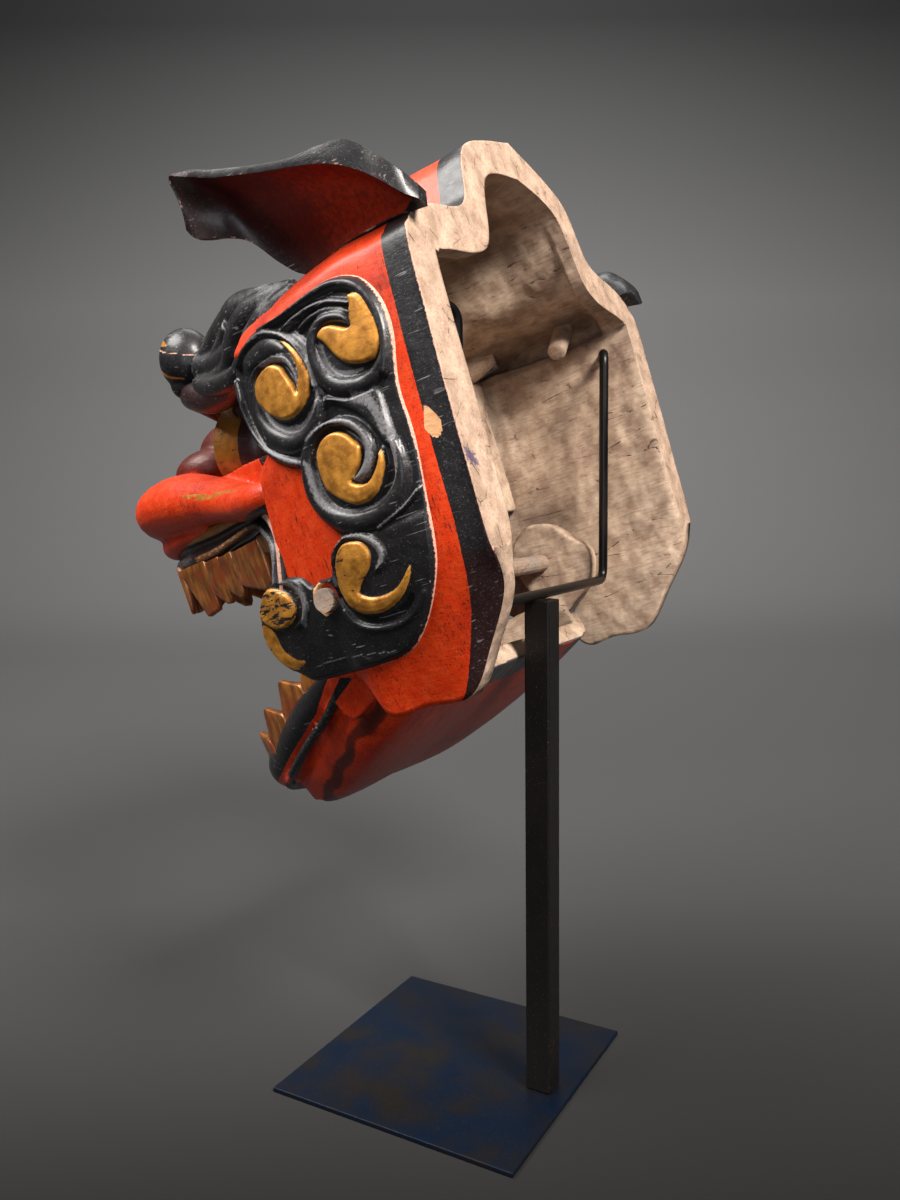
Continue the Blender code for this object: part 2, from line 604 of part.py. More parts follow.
def rod_route(tips):
    """The middle line of the bent rod: tip, upright, level run over the post, upright and tip."""
    level = POST_TOP + CLEARANCE + ROD_DIAMETER / 2
    corners = [tips, Vector((ROD_SPREAD, POST_Y, tips.z)), Vector((ROD_SPREAD, POST_Y, level))]
    corners += [Vector((-c.x, c.y, c.z)) for c in reversed(corners)]
    route = [corners[0]]
    for before, corner, after in zip(corners, corners[1:], corners[2:]):
        start = corner + (before - corner).normalized() * ROD_BEND
        end = corner + (after - corner).normalized() * ROD_BEND
        for step in range(7):
            t = step / 6
            route.append(start * (1 - t) ** 2 + corner * (2 * t * (1 - t)) + end * t ** 2)
    route.append(corners[-1])
    return route


def tube(name, route, diameter, material):
    curve = bpy.data.curves.new(name, "CURVE")
    curve.dimensions = "3D"
    curve.bevel_depth = diameter / 2
    curve.bevel_resolution = 3
    curve.use_fill_caps = True
    spline = curve.splines.new("POLY")
    spline.points.add(len(route) - 1)
    for point, place in zip(spline.points, route):
        point.co = (*place, 1)
    curve.materials.append(material)
    item = bpy.data.objects.new(name, curve)
    bpy.context.scene.collection.objects.link(item)
    return item


def build():
    clear_scene()
    steel = finish("blackened_steel", (0.012, 0.012, 0.013), 0.45, 0.6)
    lacquer = finish("vermilion_lacquer", (0.60, 0.045, 0.010), 0.38)
    black = finish("black_lacquer", (0.012, 0.012, 0.013), 0.30)
    wood = finish("bare_wood", (0.36, 0.20, 0.12), 0.75)

    frame = bpy.data.objects.new("head_frame", None)
    frame.location = AXLE_PLACE
    frame.rotation_euler.x = radians(NOSE_DOWN)
    bpy.context.scene.collection.objects.link(frame)
    swing = bpy.data.objects.new("jaw_frame", None)
    swing.parent = frame
    swing.rotation_euler.x = radians(JAW_OPEN)
    bpy.context.scene.collection.objects.link(swing)

    # Stand
    half = Vector((PLATE_WIDTH / 2, PLATE_DEPTH / 2, 0))
    plate = node("base_plate", box_mesh("base_plate", -half, half + Vector((0, 0, PLATE_THICKNESS))), steel)
    soften(plate, 0.0006)
    half = Vector((POST_SIDE / 2, POST_SIDE / 2, 0))
    foot = Vector((0, POST_Y, PLATE_THICKNESS + CLEARANCE))
    top = Vector((0, POST_Y, POST_TOP))
    post = node("post", box_mesh("post", foot - half, top + half), steel)
    soften(post, 0.0010)

    # Where the rod's tips enter the walls
    wall = side_surface(0.30) - WALL * 0.55
    tip_height = POST_TOP + CLEARANCE + ROD_DIAMETER / 2 + ROD_RISE
    tips = Vector((wall, POST_Y - ROD_TIP_FORWARD, tip_height))
    tube("cradle_rod", rod_route(tips), ROD_DIAMETER, steel)

    # Head
    head = node("head_shell", head_carving(), lacquer, frame)
    merge(head, HEAD_VOXEL, HEAD_FACES)
    ear_mesh = ear_carving()
    right_mesh = mirrored_copy(ear_mesh, "right_ear")
    for name, mesh in (("left_ear", ear_mesh), ("right_ear", right_mesh)):
        ear = node(name, mesh, black, frame)
        merge(ear, EAR_VOXEL, EAR_FACES)
        room = node(name + "_room", mesh.copy(), None, frame)
        merge(room, EAR_VOXEL, EAR_FACES, grow=EAR_ROOM)
        cut(head, room)
    reach = Vector((AXLE_LENGTH / 2, 0, 0))
    bore = AXLE_DIAMETER + 2 * HOLE_CLEARANCE
    hole = node("axle_bore", rod_mesh("axle_bore", -reach * 1.2, reach * 1.2, bore, 16), None, frame)
    cut(head, hole)
    upright = Vector((ROD_SPREAD, POST_Y, tip_height))
    for side in (1, -1):
        flip = Matrix.Scale(side, 4, (1, 0, 0))
        start = flip @ upright
        end = flip @ (tips + (tips - upright).normalized() * CLEARANCE)
        name = "socket_left" if side > 0 else "socket_right"
        socket = node(name, rod_mesh(name, start, end, ROD_DIAMETER + 2 * CLEARANCE, 16), None)
        cut(head, socket)
    node("jaw_axle", rod_mesh("jaw_axle", -reach, reach, AXLE_DIAMETER, 16), wood, frame)

    # Jaw
    jaw = node("jaw", jaw_carving(), lacquer, swing)
    merge(jaw, JAW_VOXEL, JAW_FACES)
    jaw_hole = node("jaw_bore", rod_mesh("jaw_bore", -reach, reach, bore, 16), None, frame)
    cut(jaw, jaw_hole)


build()
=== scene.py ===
# %% [markdown]
# # A lion dance head on its museum stand
#
# The object is a Japanese lion dance head of carved, lacquered wood. Its jaw hangs open on a wooden axle,
# and a plain black stand of a plate, a square post and a bent rod carries it.
#
# The lesson builds the head the way a carver thinks of it. A hollow block comes first, then the raised
# scrolls of the cheek, the face with its brows and lips, the ears, the teeth and the jaw. Paint comes last,
# and each painted edge is stored on the mesh as a distance, so that lacquer, gilding and bare wood meet
# along crisp lines.

# %% Tools and frame
from math import cos, pi, radians, sin

import bmesh
import bpy
import numpy as np
from mathutils import Matrix, Vector
from mathutils.bvhtree import BVHTree


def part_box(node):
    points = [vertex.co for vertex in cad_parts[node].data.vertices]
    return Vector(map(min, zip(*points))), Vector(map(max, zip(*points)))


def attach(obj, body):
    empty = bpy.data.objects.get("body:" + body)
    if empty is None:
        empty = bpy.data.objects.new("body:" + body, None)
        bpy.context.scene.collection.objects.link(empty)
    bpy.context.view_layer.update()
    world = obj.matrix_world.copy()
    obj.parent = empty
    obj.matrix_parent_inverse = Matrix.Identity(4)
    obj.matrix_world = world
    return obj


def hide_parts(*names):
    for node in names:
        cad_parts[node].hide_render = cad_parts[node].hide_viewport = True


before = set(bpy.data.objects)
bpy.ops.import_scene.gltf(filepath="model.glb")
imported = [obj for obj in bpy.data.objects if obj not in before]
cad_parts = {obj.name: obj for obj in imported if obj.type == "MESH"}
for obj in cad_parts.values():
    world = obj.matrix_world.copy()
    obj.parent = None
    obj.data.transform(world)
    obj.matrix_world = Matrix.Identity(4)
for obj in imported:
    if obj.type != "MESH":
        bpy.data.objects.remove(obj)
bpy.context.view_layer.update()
scene = bpy.context.scene
print("CAD nodes:", ", ".join(sorted(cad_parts)))

# %% [markdown]
# ## Sizes and frames
#
# The head is drawn in its own frame in millimetres: the origin is the middle of the jaw axle, x is out to
# the head's left, y runs back towards the rim and z runs up along it. One matrix tips it nose down onto the
# stand. The jaw has a frame of its own on the same axle, turned by the angle at which the mouth stands
# open.

# %% Sizes and frames
MM = 0.001
AXLE_PLACE = Vector((0, 0.0164, 0.322))
NOSE_DOWN = 16.5
JAW_OPEN = 30.0
HALF_WIDTH = 153.0
REAR_REACH = 97.0
HEAD_LENGTH = 300.0
CROWN_HEIGHT = 225.0
WALL = 24.0
CROWN_WALL = 22.0
UNDERCUT = 0.60

HEAD = Matrix.Translation(AXLE_PLACE) @ Matrix.Rotation(radians(NOSE_DOWN), 4, "X") @ Matrix.Scale(MM, 4)
JAW = (Matrix.Translation(AXLE_PLACE) @ Matrix.Rotation(radians(NOSE_DOWN + JAW_OPEN), 4, "X")
       @ Matrix.Scale(MM, 4))
print("head:", 2 * HALF_WIDTH, "mm wide and", HEAD_LENGTH, "mm long")

# %% [markdown]
# ## Small tools
#
# A Catmull-Rom curve runs through a few named points. Distances to outlines and paths are worked out for
# all points of a mesh at once, and both the carved height and the paint are read from them.


# %% Small tools
def catmull(points, spans, closed=False):
    """A smooth curve through the rows of points, with that many steps from one row to the next."""
    p = np.asarray(points, float)
    n = len(p)
    if closed:
        a, b, c, d = (np.roll(p, k, axis=0) for k in (1, 0, -1, -2))
    else:
        index = np.arange(n - 1)
        a, b, c, d = (p[np.clip(index + k, 0, n - 1)] for k in (-1, 0, 1, 2))
    t = (np.arange(spans) / spans)[None, :, None]
    a, b, c, d = (q[:, None, :] for q in (a, b, c, d))
    curve = 0.5 * (2 * b + (c - a) * t + (2 * a - 5 * b + 4 * c - d) * t ** 2
                   + (3 * b - a - 3 * c + d) * t ** 3)
    curve = curve.reshape(-1, p.shape[1])
    return curve if closed else np.vstack([curve, p[-1]])


def segment_distance(points, a, b):
    """Distance from each point to each segment from a to b, and the share along the segment."""
    ab = b - a
    length = np.maximum((ab ** 2).sum(1), 1e-9)
    away = points[:, None, :] - a[None, :, :]
    share = np.clip((away * ab[None]).sum(2) / length[None], 0, 1)
    gap = away - share[..., None] * ab[None]
    return np.sqrt((gap ** 2).sum(2)), share


def outline_distance(points, outline):
    """Signed distance to a closed outline, positive inside, and the nearest point on it."""
    outline = np.asarray(outline, float)
    signed = np.empty(len(points))
    nearest = np.empty_like(points)
    a = outline
    b = np.roll(outline, -1, axis=0)
    for start in range(0, len(points), 20000):
        part = points[start:start + 20000]
        gap, share = segment_distance(part, a, b)
        k = gap.argmin(1)
        row = np.arange(len(part))
        nearest[start:start + 20000] = a[k] + share[row, k][:, None] * (b - a)[k]
        py = part[:, 1][:, None]
        crosses = (a[None, :, 1] > py) != (b[None, :, 1] > py)
        slope = (b[:, 0] - a[:, 0]) / np.where(b[:, 1] == a[:, 1], 1e-9, b[:, 1] - a[:, 1])
        at = a[None, :, 0] + (py - a[None, :, 1]) * slope[None]
        inside = (crosses & (part[:, 0][:, None] < at)).sum(1) % 2 == 1
        signed[start:start + 20000] = np.where(inside, gap[row, k], -gap[row, k])
    return signed, nearest


def path_distance(points, path):
    """For a path of rows (y, z, half width): the distance to its middle line, and the half width there."""
    path = np.asarray(path, float)
    gap = np.empty(len(points))
    width = np.empty(len(points))
    a, b = path[:-1, :2], path[1:, :2]
    for start in range(0, len(points), 20000):
        part = points[start:start + 20000]
        distance, share = segment_distance(part, a, b)
        k = (distance / np.maximum(path[:-1, 2] * (1 - share) + path[1:, 2] * share, 0.05)).argmin(1)
        row = np.arange(len(part))
        s = share[row, k]
        gap[start:start + 20000] = distance[row, k]
        width[start:start + 20000] = path[:-1, 2][k] * (1 - s) + path[1:, 2][k] * s
    return gap, width

print("curves and distances ready")

# %% [markdown]
# ## Soft steps and noise
#
# A smooth step blends one measure into the next. The noise is worked out from a seeded table, so that the
# gouge marks come out the same each time.

# %% Soft steps and noise


def smooth(t):
    t = np.clip(t, 0, 1)
    return t * t * (3 - 2 * t)


def value_noise(points, scale, seed):
    """Soft, repeatable noise from -1 to 1 for rows of points in millimetres."""
    rng = np.random.default_rng(seed)
    table = rng.uniform(-1, 1, 4096)
    p = np.asarray(points, float) / scale
    cell = np.floor(p).astype(int)
    f = smooth(p - cell)
    total = np.zeros(len(p))
    for corner in range(2 ** p.shape[1]):
        weight = np.ones(len(p))
        key = np.zeros(len(p), int)
        for axis in range(p.shape[1]):
            bit = (corner >> axis) & 1
            weight *= f[:, axis] if bit else 1 - f[:, axis]
            key += (cell[:, axis] + bit) * (7919, 104729, 1299709)[axis]
        total += weight * table[key % 4096]
    return total

print("noise ready")

# %% [markdown]
# ## Meshes
#
# A piece is made from plain arrays of points and faces, which is the quickest way to build a large mesh in
# Python. Its left half is mirrored where the head has two of it.

# %% Meshes


def build_piece(name, points, faces, matrix, materials, attributes=None, indices=None, flat=False):
    """One mesh piece at the origin, from points in millimetres in the head's or jaw's frame."""
    mesh = bpy.data.meshes.new(name)
    m = np.array(matrix)
    world = np.asarray(points, float) @ m[:3, :3].T + m[:3, 3]
    mesh.from_pydata(world.tolist(), [], [list(map(int, face)) for face in faces])
    for material in materials:
        mesh.materials.append(material)
    if indices is not None:
        mesh.polygons.foreach_set("material_index", np.asarray(indices, int))
    mesh.polygons.foreach_set("use_smooth", np.full(len(faces), not flat))
    for key, values in (attributes or {}).items():
        layer = mesh.attributes.new(key, "FLOAT", "POINT")
        layer.data.foreach_set("value", np.asarray(values, np.float32))
    mesh.update()
    item = bpy.data.objects.new(name, mesh)
    scene.collection.objects.link(item)
    return item


def outward(item):
    """Turns every face of a closed piece to the outside."""
    mesh = bmesh.new()
    mesh.from_mesh(item.data)
    bmesh.ops.recalc_face_normals(mesh, faces=mesh.faces[:])
    mesh.to_mesh(item.data)
    mesh.free()


def apply_modifiers(item):
    graph = bpy.context.evaluated_depsgraph_get()
    fresh = bpy.data.meshes.new_from_object(item.evaluated_get(graph), depsgraph=graph)
    item.modifiers.clear()
    item.data = fresh


def mirrored(item, name):
    """The same piece on the head's other side."""
    copy = item.copy()
    copy.data = item.data.copy()
    copy.name = name
    copy.data.name = name
    copy.data.transform(Matrix.Scale(-1, 4, (1, 0, 0)))
    copy.data.flip_normals()
    scene.collection.objects.link(copy)
    return copy


def face_frames(item, matrix):
    """The middles of a piece's faces in millimetres of a frame, and which way they look."""
    count = len(item.data.polygons) * 3
    middle = np.empty(count)
    item.data.polygons.foreach_get("center", middle)
    inverse = np.array(matrix.inverted())
    middle = middle.reshape(-1, 3) @ inverse[:3, :3].T + inverse[:3, 3]
    facing = np.empty(count)
    item.data.polygons.foreach_get("normal", facing)
    return middle, facing.reshape(-1, 3) @ np.array(matrix.to_3x3().normalized())


def leave_bare(item, uncoated):
    """Gives the marked faces of a lacquered piece the bare wood of the hollow."""
    item.data.materials.append(bare_wood)
    item.data.polygons.foreach_set("material_index", uncoated.astype(int))


def triangle_count(item):
    return sum(len(face.vertices) - 2 for face in item.data.polygons)


print("mesh helpers ready")

# %% [markdown]
# ## Materials
#
# The head is carved from a light wood, coated with lacquer and partly gilded. One material holds the coats
# and the wood under them, and attributes of the mesh say where each one lies. "black", "gold" and "bare" are
# signed distances to a paint edge in millimetres. "worn" says how far a rubbed edge has lost its coat,
# "dust" how much grey lies on it, as dust and scuffing and as painted highlight, "smear"
# how far the red has darkened, by smears and by painted shade, "brown" how thin the black is and
# how far the gilding is darkened by painted shade, and "flake" how much gilding has gone. The hollow's wood
# reads "ink" and "grime_and_painted_shade" in the same way, the second holding grime and painted shade. Noise
# pushes the distances about by a fraction of a millimetre, as a brush would.

# %% Materials
def linear(hex_colour):
    """A colour given as sRGB hex, as linear values."""
    values = [int(hex_colour[i:i + 2], 16) / 255 for i in (1, 3, 5)]
    return tuple(v / 12.92 if v <= 0.04045 else ((v + 0.055) / 1.055) ** 2.4 for v in values) + (1,)


class Nodes:
    """Adds shader nodes to one material and links them."""

    def __init__(self, name):
        self.material = bpy.data.materials.new(name)
        self.material.use_nodes = True
        self.tree = self.material.node_tree
        self.shader = self.tree.nodes["Principled BSDF"]

    def add(self, kind, inputs=None, **settings):
        node = self.tree.nodes.new(kind)
        for key, value in settings.items():
            setattr(node, key, value)
        for key, value in (inputs or {}).items():
            self.put(node.inputs[key], value)
        return node

    def put(self, socket, value):
        if isinstance(value, bpy.types.NodeSocket):
            self.tree.links.new(value, socket)
        else:
            socket.default_value = value

    def math(self, operation, a, b=0.0, c=0.0, clamp=False):
        node = self.add("ShaderNodeMath", {0: a, 1: b, 2: c}, operation=operation, use_clamp=clamp)
        return node.outputs[0]

    def mix(self, share, a, b):
        node = self.add("ShaderNodeMix", data_type="RGBA")
        self.put(node.inputs["Factor"], share)
        self.put(node.inputs["A"], a)
        self.put(node.inputs["B"], b)
        return node.outputs["Result"]

    def blend(self, share, a, b):
        node = self.add("ShaderNodeMix", data_type="FLOAT")
        self.put(node.inputs["Factor"], share)
        self.put(node.inputs["A"], a)
        self.put(node.inputs["B"], b)
        return node.outputs["Result"]

    def ramp(self, value, low, high, start=0.0, end=1.0):
        ends = {"Value": value, "From Min": low, "From Max": high, "To Min": start, "To Max": end}
        return self.add("ShaderNodeMapRange", ends, interpolation_type="SMOOTHSTEP").outputs["Result"]

    def place(self, stretch=(1, 1, 1)):
        """Object coordinates in millimetres, squeezed where a pattern runs along one axis."""
        coordinates = self.add("ShaderNodeTexCoord").outputs["Object"]
        scale = tuple(1000 * s for s in stretch)
        return self.add("ShaderNodeMapping", {"Vector": coordinates, "Scale": scale}).outputs[0]

    def head_place(self, stretch=(1, 1, 1)):
        """The same, turned to follow the tipped head."""
        coordinates = self.add("ShaderNodeTexCoord").outputs["Object"]
        turn = (-radians(NOSE_DOWN), 0, 0)
        turned = self.add("ShaderNodeMapping", {"Vector": coordinates, "Rotation": turn})
        scale = tuple(1000 * s for s in stretch)
        return self.add("ShaderNodeMapping", {"Vector": turned.outputs[0], "Scale": scale}).outputs[0]

    def noise(self, vector, size, detail=3.0, roughness=0.55):
        """Noise whose blobs are about that many millimetres across."""
        inputs = {"Vector": vector, "Scale": 1 / size, "Detail": detail, "Roughness": roughness}
        return self.add("ShaderNodeTexNoise", inputs).outputs["Fac"]

    def attribute(self, name):
        return self.add("ShaderNodeAttribute", attribute_name=name).outputs["Fac"]

    def bump(self, height, strength, distance_mm, normal=None):
        inputs = {"Height": height, "Strength": strength, "Distance": distance_mm * MM}
        if normal is not None:
            inputs["Normal"] = normal
        return self.add("ShaderNodeBump", inputs).outputs[0]

    def surface(self, **values):
        for key, value in values.items():
            self.put(self.shader.inputs[key.replace("_", " ")], value)
        return self.material


VERMILION = "#CE3306"
VERMILION_DEEP = "#9A1F08"
VERMILION_FADED = "#D63F0C"
BLACK = "#161517"
BLACK_BROWN = "#2A1716"
DUST_AND_SHEEN_GREY = "#8E8B8D"
GOLD = "#C98A36"
GOLD_DARK = "#8A581E"
WORN_PINK = "#D6A894"
WOOD = "#C6AE96"
WOOD_DARK = "#9A806B"
WOOD_PALE = "#D9B79C"
STEEL_BLACK = "#1D1B1A"
# The plate's black is tinted blue as a painted reflection
PLATE_BLACK_BLUE_REFLECTION = "#0B1B30"

print("colour and node helpers ready")

# %% [markdown]
# ## Lacquer and gilding
#
# The real coat is urushi, a tree lacquer brushed over carved wood in thin layers and polished, with gold
# leaf on the bosses. It gives the eye a deep, even colour with a soft sheen. Age leaves hairline scratches,
# grey dust in the grooves, and pale ground where an edge is rubbed through.

# %% Lacquer and gilding


def lacquer_material(name, speckle=1.0):
    """Lacquer over wood: vermilion below, black and gilding on top, worn through along the edges."""
    n = Nodes(name)
    here = n.head_place()
    strokes = n.head_place((1, 0.22, 1))
    fine = n.noise(here, 0.7, 2)
    middle = n.noise(here, 6, 4)
    broad = n.noise(here, 38, 3)
    streak = n.noise(strokes, 2.2, 4, 0.65)
    hatch = n.noise(n.head_place((1.2, 1, 0.14)), 1.3, 3, 0.6)
    wander = n.math("MULTIPLY", n.math("SUBTRACT", n.noise(here, 2.6, 4, 0.6), 0.5), 1.0)

    # Vermilion: a bright coat over a darker one, with dark specks and brushed streaks
    red = n.mix(n.ramp(middle, 0.35, 0.70), linear(VERMILION), linear(VERMILION_FADED))
    red = n.mix(n.math("MULTIPLY", n.ramp(broad, 0.50, 0.72), 0.7), red, linear(VERMILION_DEEP))
    red = n.mix(n.math("MULTIPLY", n.ramp(streak, 0.56, 0.78), 0.55), red, linear(VERMILION_DEEP))
    hatched = n.math("MULTIPLY", n.ramp(hatch, 0.54, 0.72), n.ramp(broad, 0.36, 0.56, 0.25, 0.85))
    red = n.mix(hatched, red, linear("#4A1407"))
    specks = n.ramp(n.noise(here, 1.0, 2, 0.7), 0.59, 0.68)
    red = n.mix(n.math("MULTIPLY", specks, 0.75 * speckle), red, linear("#331009"))
    # smear darkens the red: smears, and painted shade on the face and in the ears' hollows
    smear = n.math("ADD", n.attribute("smear"), wander)
    red = n.mix(n.ramp(smear, 0.2, 1.2, 0, 0.88), red, linear("#421409"))
    red = n.mix(n.ramp(smear, 1.2, 2.0, 0, 0.8), red, linear("#1C100F"))

    # Black: glossy, browner where it is thin
    thin = n.math("ADD", n.attribute("brown"), n.math("MULTIPLY", n.math("SUBTRACT", streak, 0.5), 1.2))
    black = n.mix(n.ramp(broad, 0.35, 0.75), linear(BLACK), linear("#1F1D1E"))
    black = n.mix(n.ramp(thin, 0.2, 1.0, 0, 1), black, linear(BLACK_BROWN))

    # Gilding: warm ochre gold, with a black crackle where it has flaked
    gold = n.mix(n.ramp(middle, 0.3, 0.75), linear(GOLD), linear(GOLD_DARK))
    gold = n.mix(n.ramp(n.noise(here, 1.6, 3), 0.60, 0.80, 0, 0.5), gold, linear("#E0AA5A"))
    # brown browns the gilding: painted shade on the eyes, and darker gold at the front of the moulding
    gold = n.mix(n.ramp(n.attribute("brown"), 0.4, 1.0, 0, 0.6), gold, linear("#6B4214"))
    flaking = n.math("ADD", n.attribute("flake"), n.math("MULTIPLY", n.noise(strokes, 2.4, 5, 0.7), 1.0))
    flaked = n.ramp(flaking, 0.99, 1.06)

    on_black = n.ramp(n.math("ADD", n.attribute("black"), wander), -0.12, 0.12)
    on_gold = n.ramp(n.math("ADD", n.attribute("gold"), n.math("MULTIPLY", wander, 0.7)), -0.10, 0.14)
    on_gold = n.math("MULTIPLY", on_gold, n.math("SUBTRACT", 1.0, flaked))
    colour = n.mix(on_black, red, black)
    colour = n.mix(on_gold, colour, gold)

    # Dust, scuffs and painted highlights lie grey on the black coat, worn edges show ground and wood
    grit = n.math("SUBTRACT", n.noise(here, 1.3, 5, 0.7), 0.5)
    scuff_and_sheen = n.math("ADD", n.attribute("dust"), n.math("MULTIPLY", grit, 2.4))
    dusty = n.ramp(scuff_and_sheen, 0.30, 1.15, 0, 0.62)
    specs = n.ramp(n.noise(here, 0.6, 1, 0.5), 0.69, 0.75, 0, 0.45)
    along = n.noise(n.head_place((1, 0.035, 1)), 1.1, 1, 0.5)
    scratch = n.math("MULTIPLY", n.ramp(along, 0.66, 0.71, 0, 0.55), n.ramp(n.noise(here, 13, 2), 0.46, 0.58))
    specs = n.math("MAXIMUM", specs, scratch)
    dusty = n.math("MAXIMUM", dusty, n.math("MULTIPLY", specs, on_black))
    dusty = n.math("MULTIPLY", dusty, n.math("SUBTRACT", 1.0, on_gold))
    colour = n.mix(dusty, colour, linear(DUST_AND_SHEEN_GREY))
    rub = n.math("SUBTRACT", n.noise(strokes, 1.8, 5, 0.7), 0.5)
    wear = n.math("ADD", n.attribute("worn"), n.math("MULTIPLY", rub, 1.5))
    worn = n.ramp(wear, 0.42, 0.75)
    bare = n.ramp(n.math("ADD", n.attribute("bare"), n.math("MULTIPLY", wander, 0.8)), -0.1, 0.15)
    ground = n.mix(n.ramp(fine, 0.35, 0.65), linear(WORN_PINK), linear("#B98470"))
    colour = n.mix(worn, colour, ground)
    colour = n.mix(bare, colour, n.mix(n.ramp(streak, 0.3, 0.7), linear("#DDAE80"), linear("#C28A5A")))

    rough = n.blend(on_black, n.ramp(middle, 0.2, 0.8, 0.40, 0.54), n.ramp(middle, 0.2, 0.8, 0.33, 0.50))
    rough = n.blend(on_gold, rough, 0.42)
    rough = n.blend(n.math("MAXIMUM", worn, bare), rough, 0.72)
    rough = n.math("ADD", rough, n.math("MULTIPLY", dusty, 0.25))
    coated = n.math("SUBTRACT", 1.0, n.math("MAXIMUM", worn, bare))
    shine = n.math("MULTIPLY", coated, n.blend(on_black, 0.12, 0.2))
    metal = n.math("MULTIPLY", n.math("MULTIPLY", on_gold, 0.35), n.math("SUBTRACT", 1.0, worn))

    facets = n.bump(n.noise(here, 9, 2), 0.45, 0.9)
    brushed = n.bump(n.noise(strokes, 1.6, 4, 0.65), 0.45, 0.35, facets)
    chips = n.bump(n.math("MAXIMUM", worn, bare), 0.5, -0.25, brushed)
    crackle = n.bump(n.math("ADD", flaked, n.math("MULTIPLY", fine, 0.6)), 0.5, -0.12, chips)
    return n.surface(Base_Color=colour, Roughness=rough, Metallic=metal, Coat_Weight=shine,
                     Coat_Roughness=0.22, Specular_IOR_Level=0.32, Normal=crackle)

lacquer = lacquer_material("carved_lacquer")
print("coat:", lacquer.name)

# %% [markdown]
# ## Bare wood
#
# The hollow is light wood as the gouge left it, dry and darkened by hands and dust, with painted shade
# deep inside, under the ears and under the crown. It gives the eye no shine, with fine fibres along the head,
# short cracks and pale nicks. Fibres are about a millimetre wide.

# %% Bare wood


def wood_material(name, tone=WOOD, age=1.0):
    """Old bare wood: tool marks, grain along the head, cracks and pale scratches."""
    n = Nodes(name)
    here = n.head_place()
    grain = n.head_place((1, 0.10, 1))
    broad = n.noise(here, 45, 3)
    middle = n.noise(here, 12, 4, 0.6)
    fibre = n.noise(grain, 1.3, 5, 0.65)
    colour = n.mix(n.ramp(middle, 0.3, 0.7), linear(tone), linear(WOOD_DARK))
    colour = n.mix(n.math("MULTIPLY", n.ramp(fibre, 0.45, 0.70), 0.45), colour, linear("#6E4C3A"))
    colour = n.mix(n.ramp(broad, 0.52, 0.75, 0, 0.55 * age), colour, linear("#5C3D30"))
    pale = n.ramp(n.noise(grain, 3.5, 4, 0.7), 0.64, 0.74, 0, 0.55)
    colour = n.mix(pale, colour, linear(WOOD_PALE))
    cracks = n.add("ShaderNodeTexVoronoi", {"Vector": n.head_place((1, 0.18, 1)), "Scale": 1 / 17.0},
                   feature="DISTANCE_TO_EDGE").outputs["Distance"]
    crack = n.ramp(n.math("ADD", cracks, n.math("MULTIPLY", fibre, 0.05)), 0.024, 0.040, 1, 0)
    crack = n.math("MULTIPLY", crack, n.ramp(middle, 0.50, 0.62))
    colour = n.mix(n.math("MULTIPLY", crack, 0.8), colour, linear("#2E1D17"))
    nicks = n.ramp(n.noise(here, 1.1, 2, 0.7), 0.68, 0.73, 0, 0.6)
    colour = n.mix(nicks, colour, linear("#E5D2C2"))
    blot = n.math("MULTIPLY", n.noise(here, 1.6, 4, 0.7), 1.6)
    ink = n.ramp(n.math("ADD", n.attribute("ink"), blot), 1.0, 1.4, 0, 0.8)
    colour = n.mix(ink, colour, linear("#2F2450"))
    # grime_and_painted_shade darkens the wood: grime, and painted shade in the hollow's recesses
    shade = n.ramp(n.attribute("grime_and_painted_shade"), 0.0, 1.0, 0, 0.6)
    colour = n.mix(shade, colour, linear("#3B2820"))
    tool = n.bump(n.noise(here, 7, 1, 0.3), 0.55, 1.6)
    fibres = n.bump(fibre, 0.4, 0.30, tool)
    cut = n.bump(crack, 0.8, -0.8, fibres)
    return n.surface(Base_Color=colour, Roughness=n.ramp(fibre, 0.2, 0.8, 0.62, 0.85), Normal=cut)

bare_wood = wood_material("hollow_wood")
rim_wood = wood_material("rim_wood", tone="#C3A690", age=0.2)
print("wood:", bare_wood.name)

# %% [markdown]
# ## Blackened steel
#
# The stand is mild steel with a thin matt black coat. Rubbing brings a warm grey through it, and dust lies
# on it as pale specks. The plate's black is tinted blue as a painted reflection.

# %% Blackened steel


def steel_material(name, tone, wear=1.0, rough=0.42):
    """Mild steel with a thin matt black coat, rubbed and dusty."""
    n = Nodes(name)
    here = n.place()
    broad = n.noise(here, 40, 3)
    fine = n.noise(here, 1.1, 3, 0.7)
    colour = n.mix(n.ramp(broad, 0.35, 0.7), linear(tone), linear("#1E1A18"))
    rubs = n.ramp(n.noise(n.place((1, 1, 0.2)), 3.0, 5, 0.7), 0.64, 0.74, 0, 0.45 * wear)
    colour = n.mix(rubs, colour, linear("#4A3F39"))
    specks = n.ramp(n.noise(here, 0.8, 1), 0.71, 0.75, 0, 0.5 * wear)
    colour = n.mix(specks, colour, linear("#9A938C"))
    uneven = n.ramp(broad, 0.2, 0.8, rough - 0.06, rough + 0.08)
    return n.surface(Base_Color=colour, Metallic=0.55, Roughness=uneven, Normal=n.bump(fine, 0.25, 0.12))


post_steel = steel_material("post_steel", STEEL_BLACK)
plate_steel = steel_material("plate_steel", PLATE_BLACK_BLUE_REFLECTION, wear=0.35, rough=0.36)
rod_steel = steel_material("rod_steel", "#0E0D0E", wear=0.2, rough=0.34)
print("materials:", ", ".join(m.name for m in bpy.data.materials))

# %% [markdown]
# ## The hollow head
#
# The head is a thick arch from the rear rim forward. Each section is a row of points from the foot of the
# cheek over the shoulder to the crown, as shares of half the width and of the crown's height. The outer
# skin is lacquered and the inner one is left as the gouge left it.

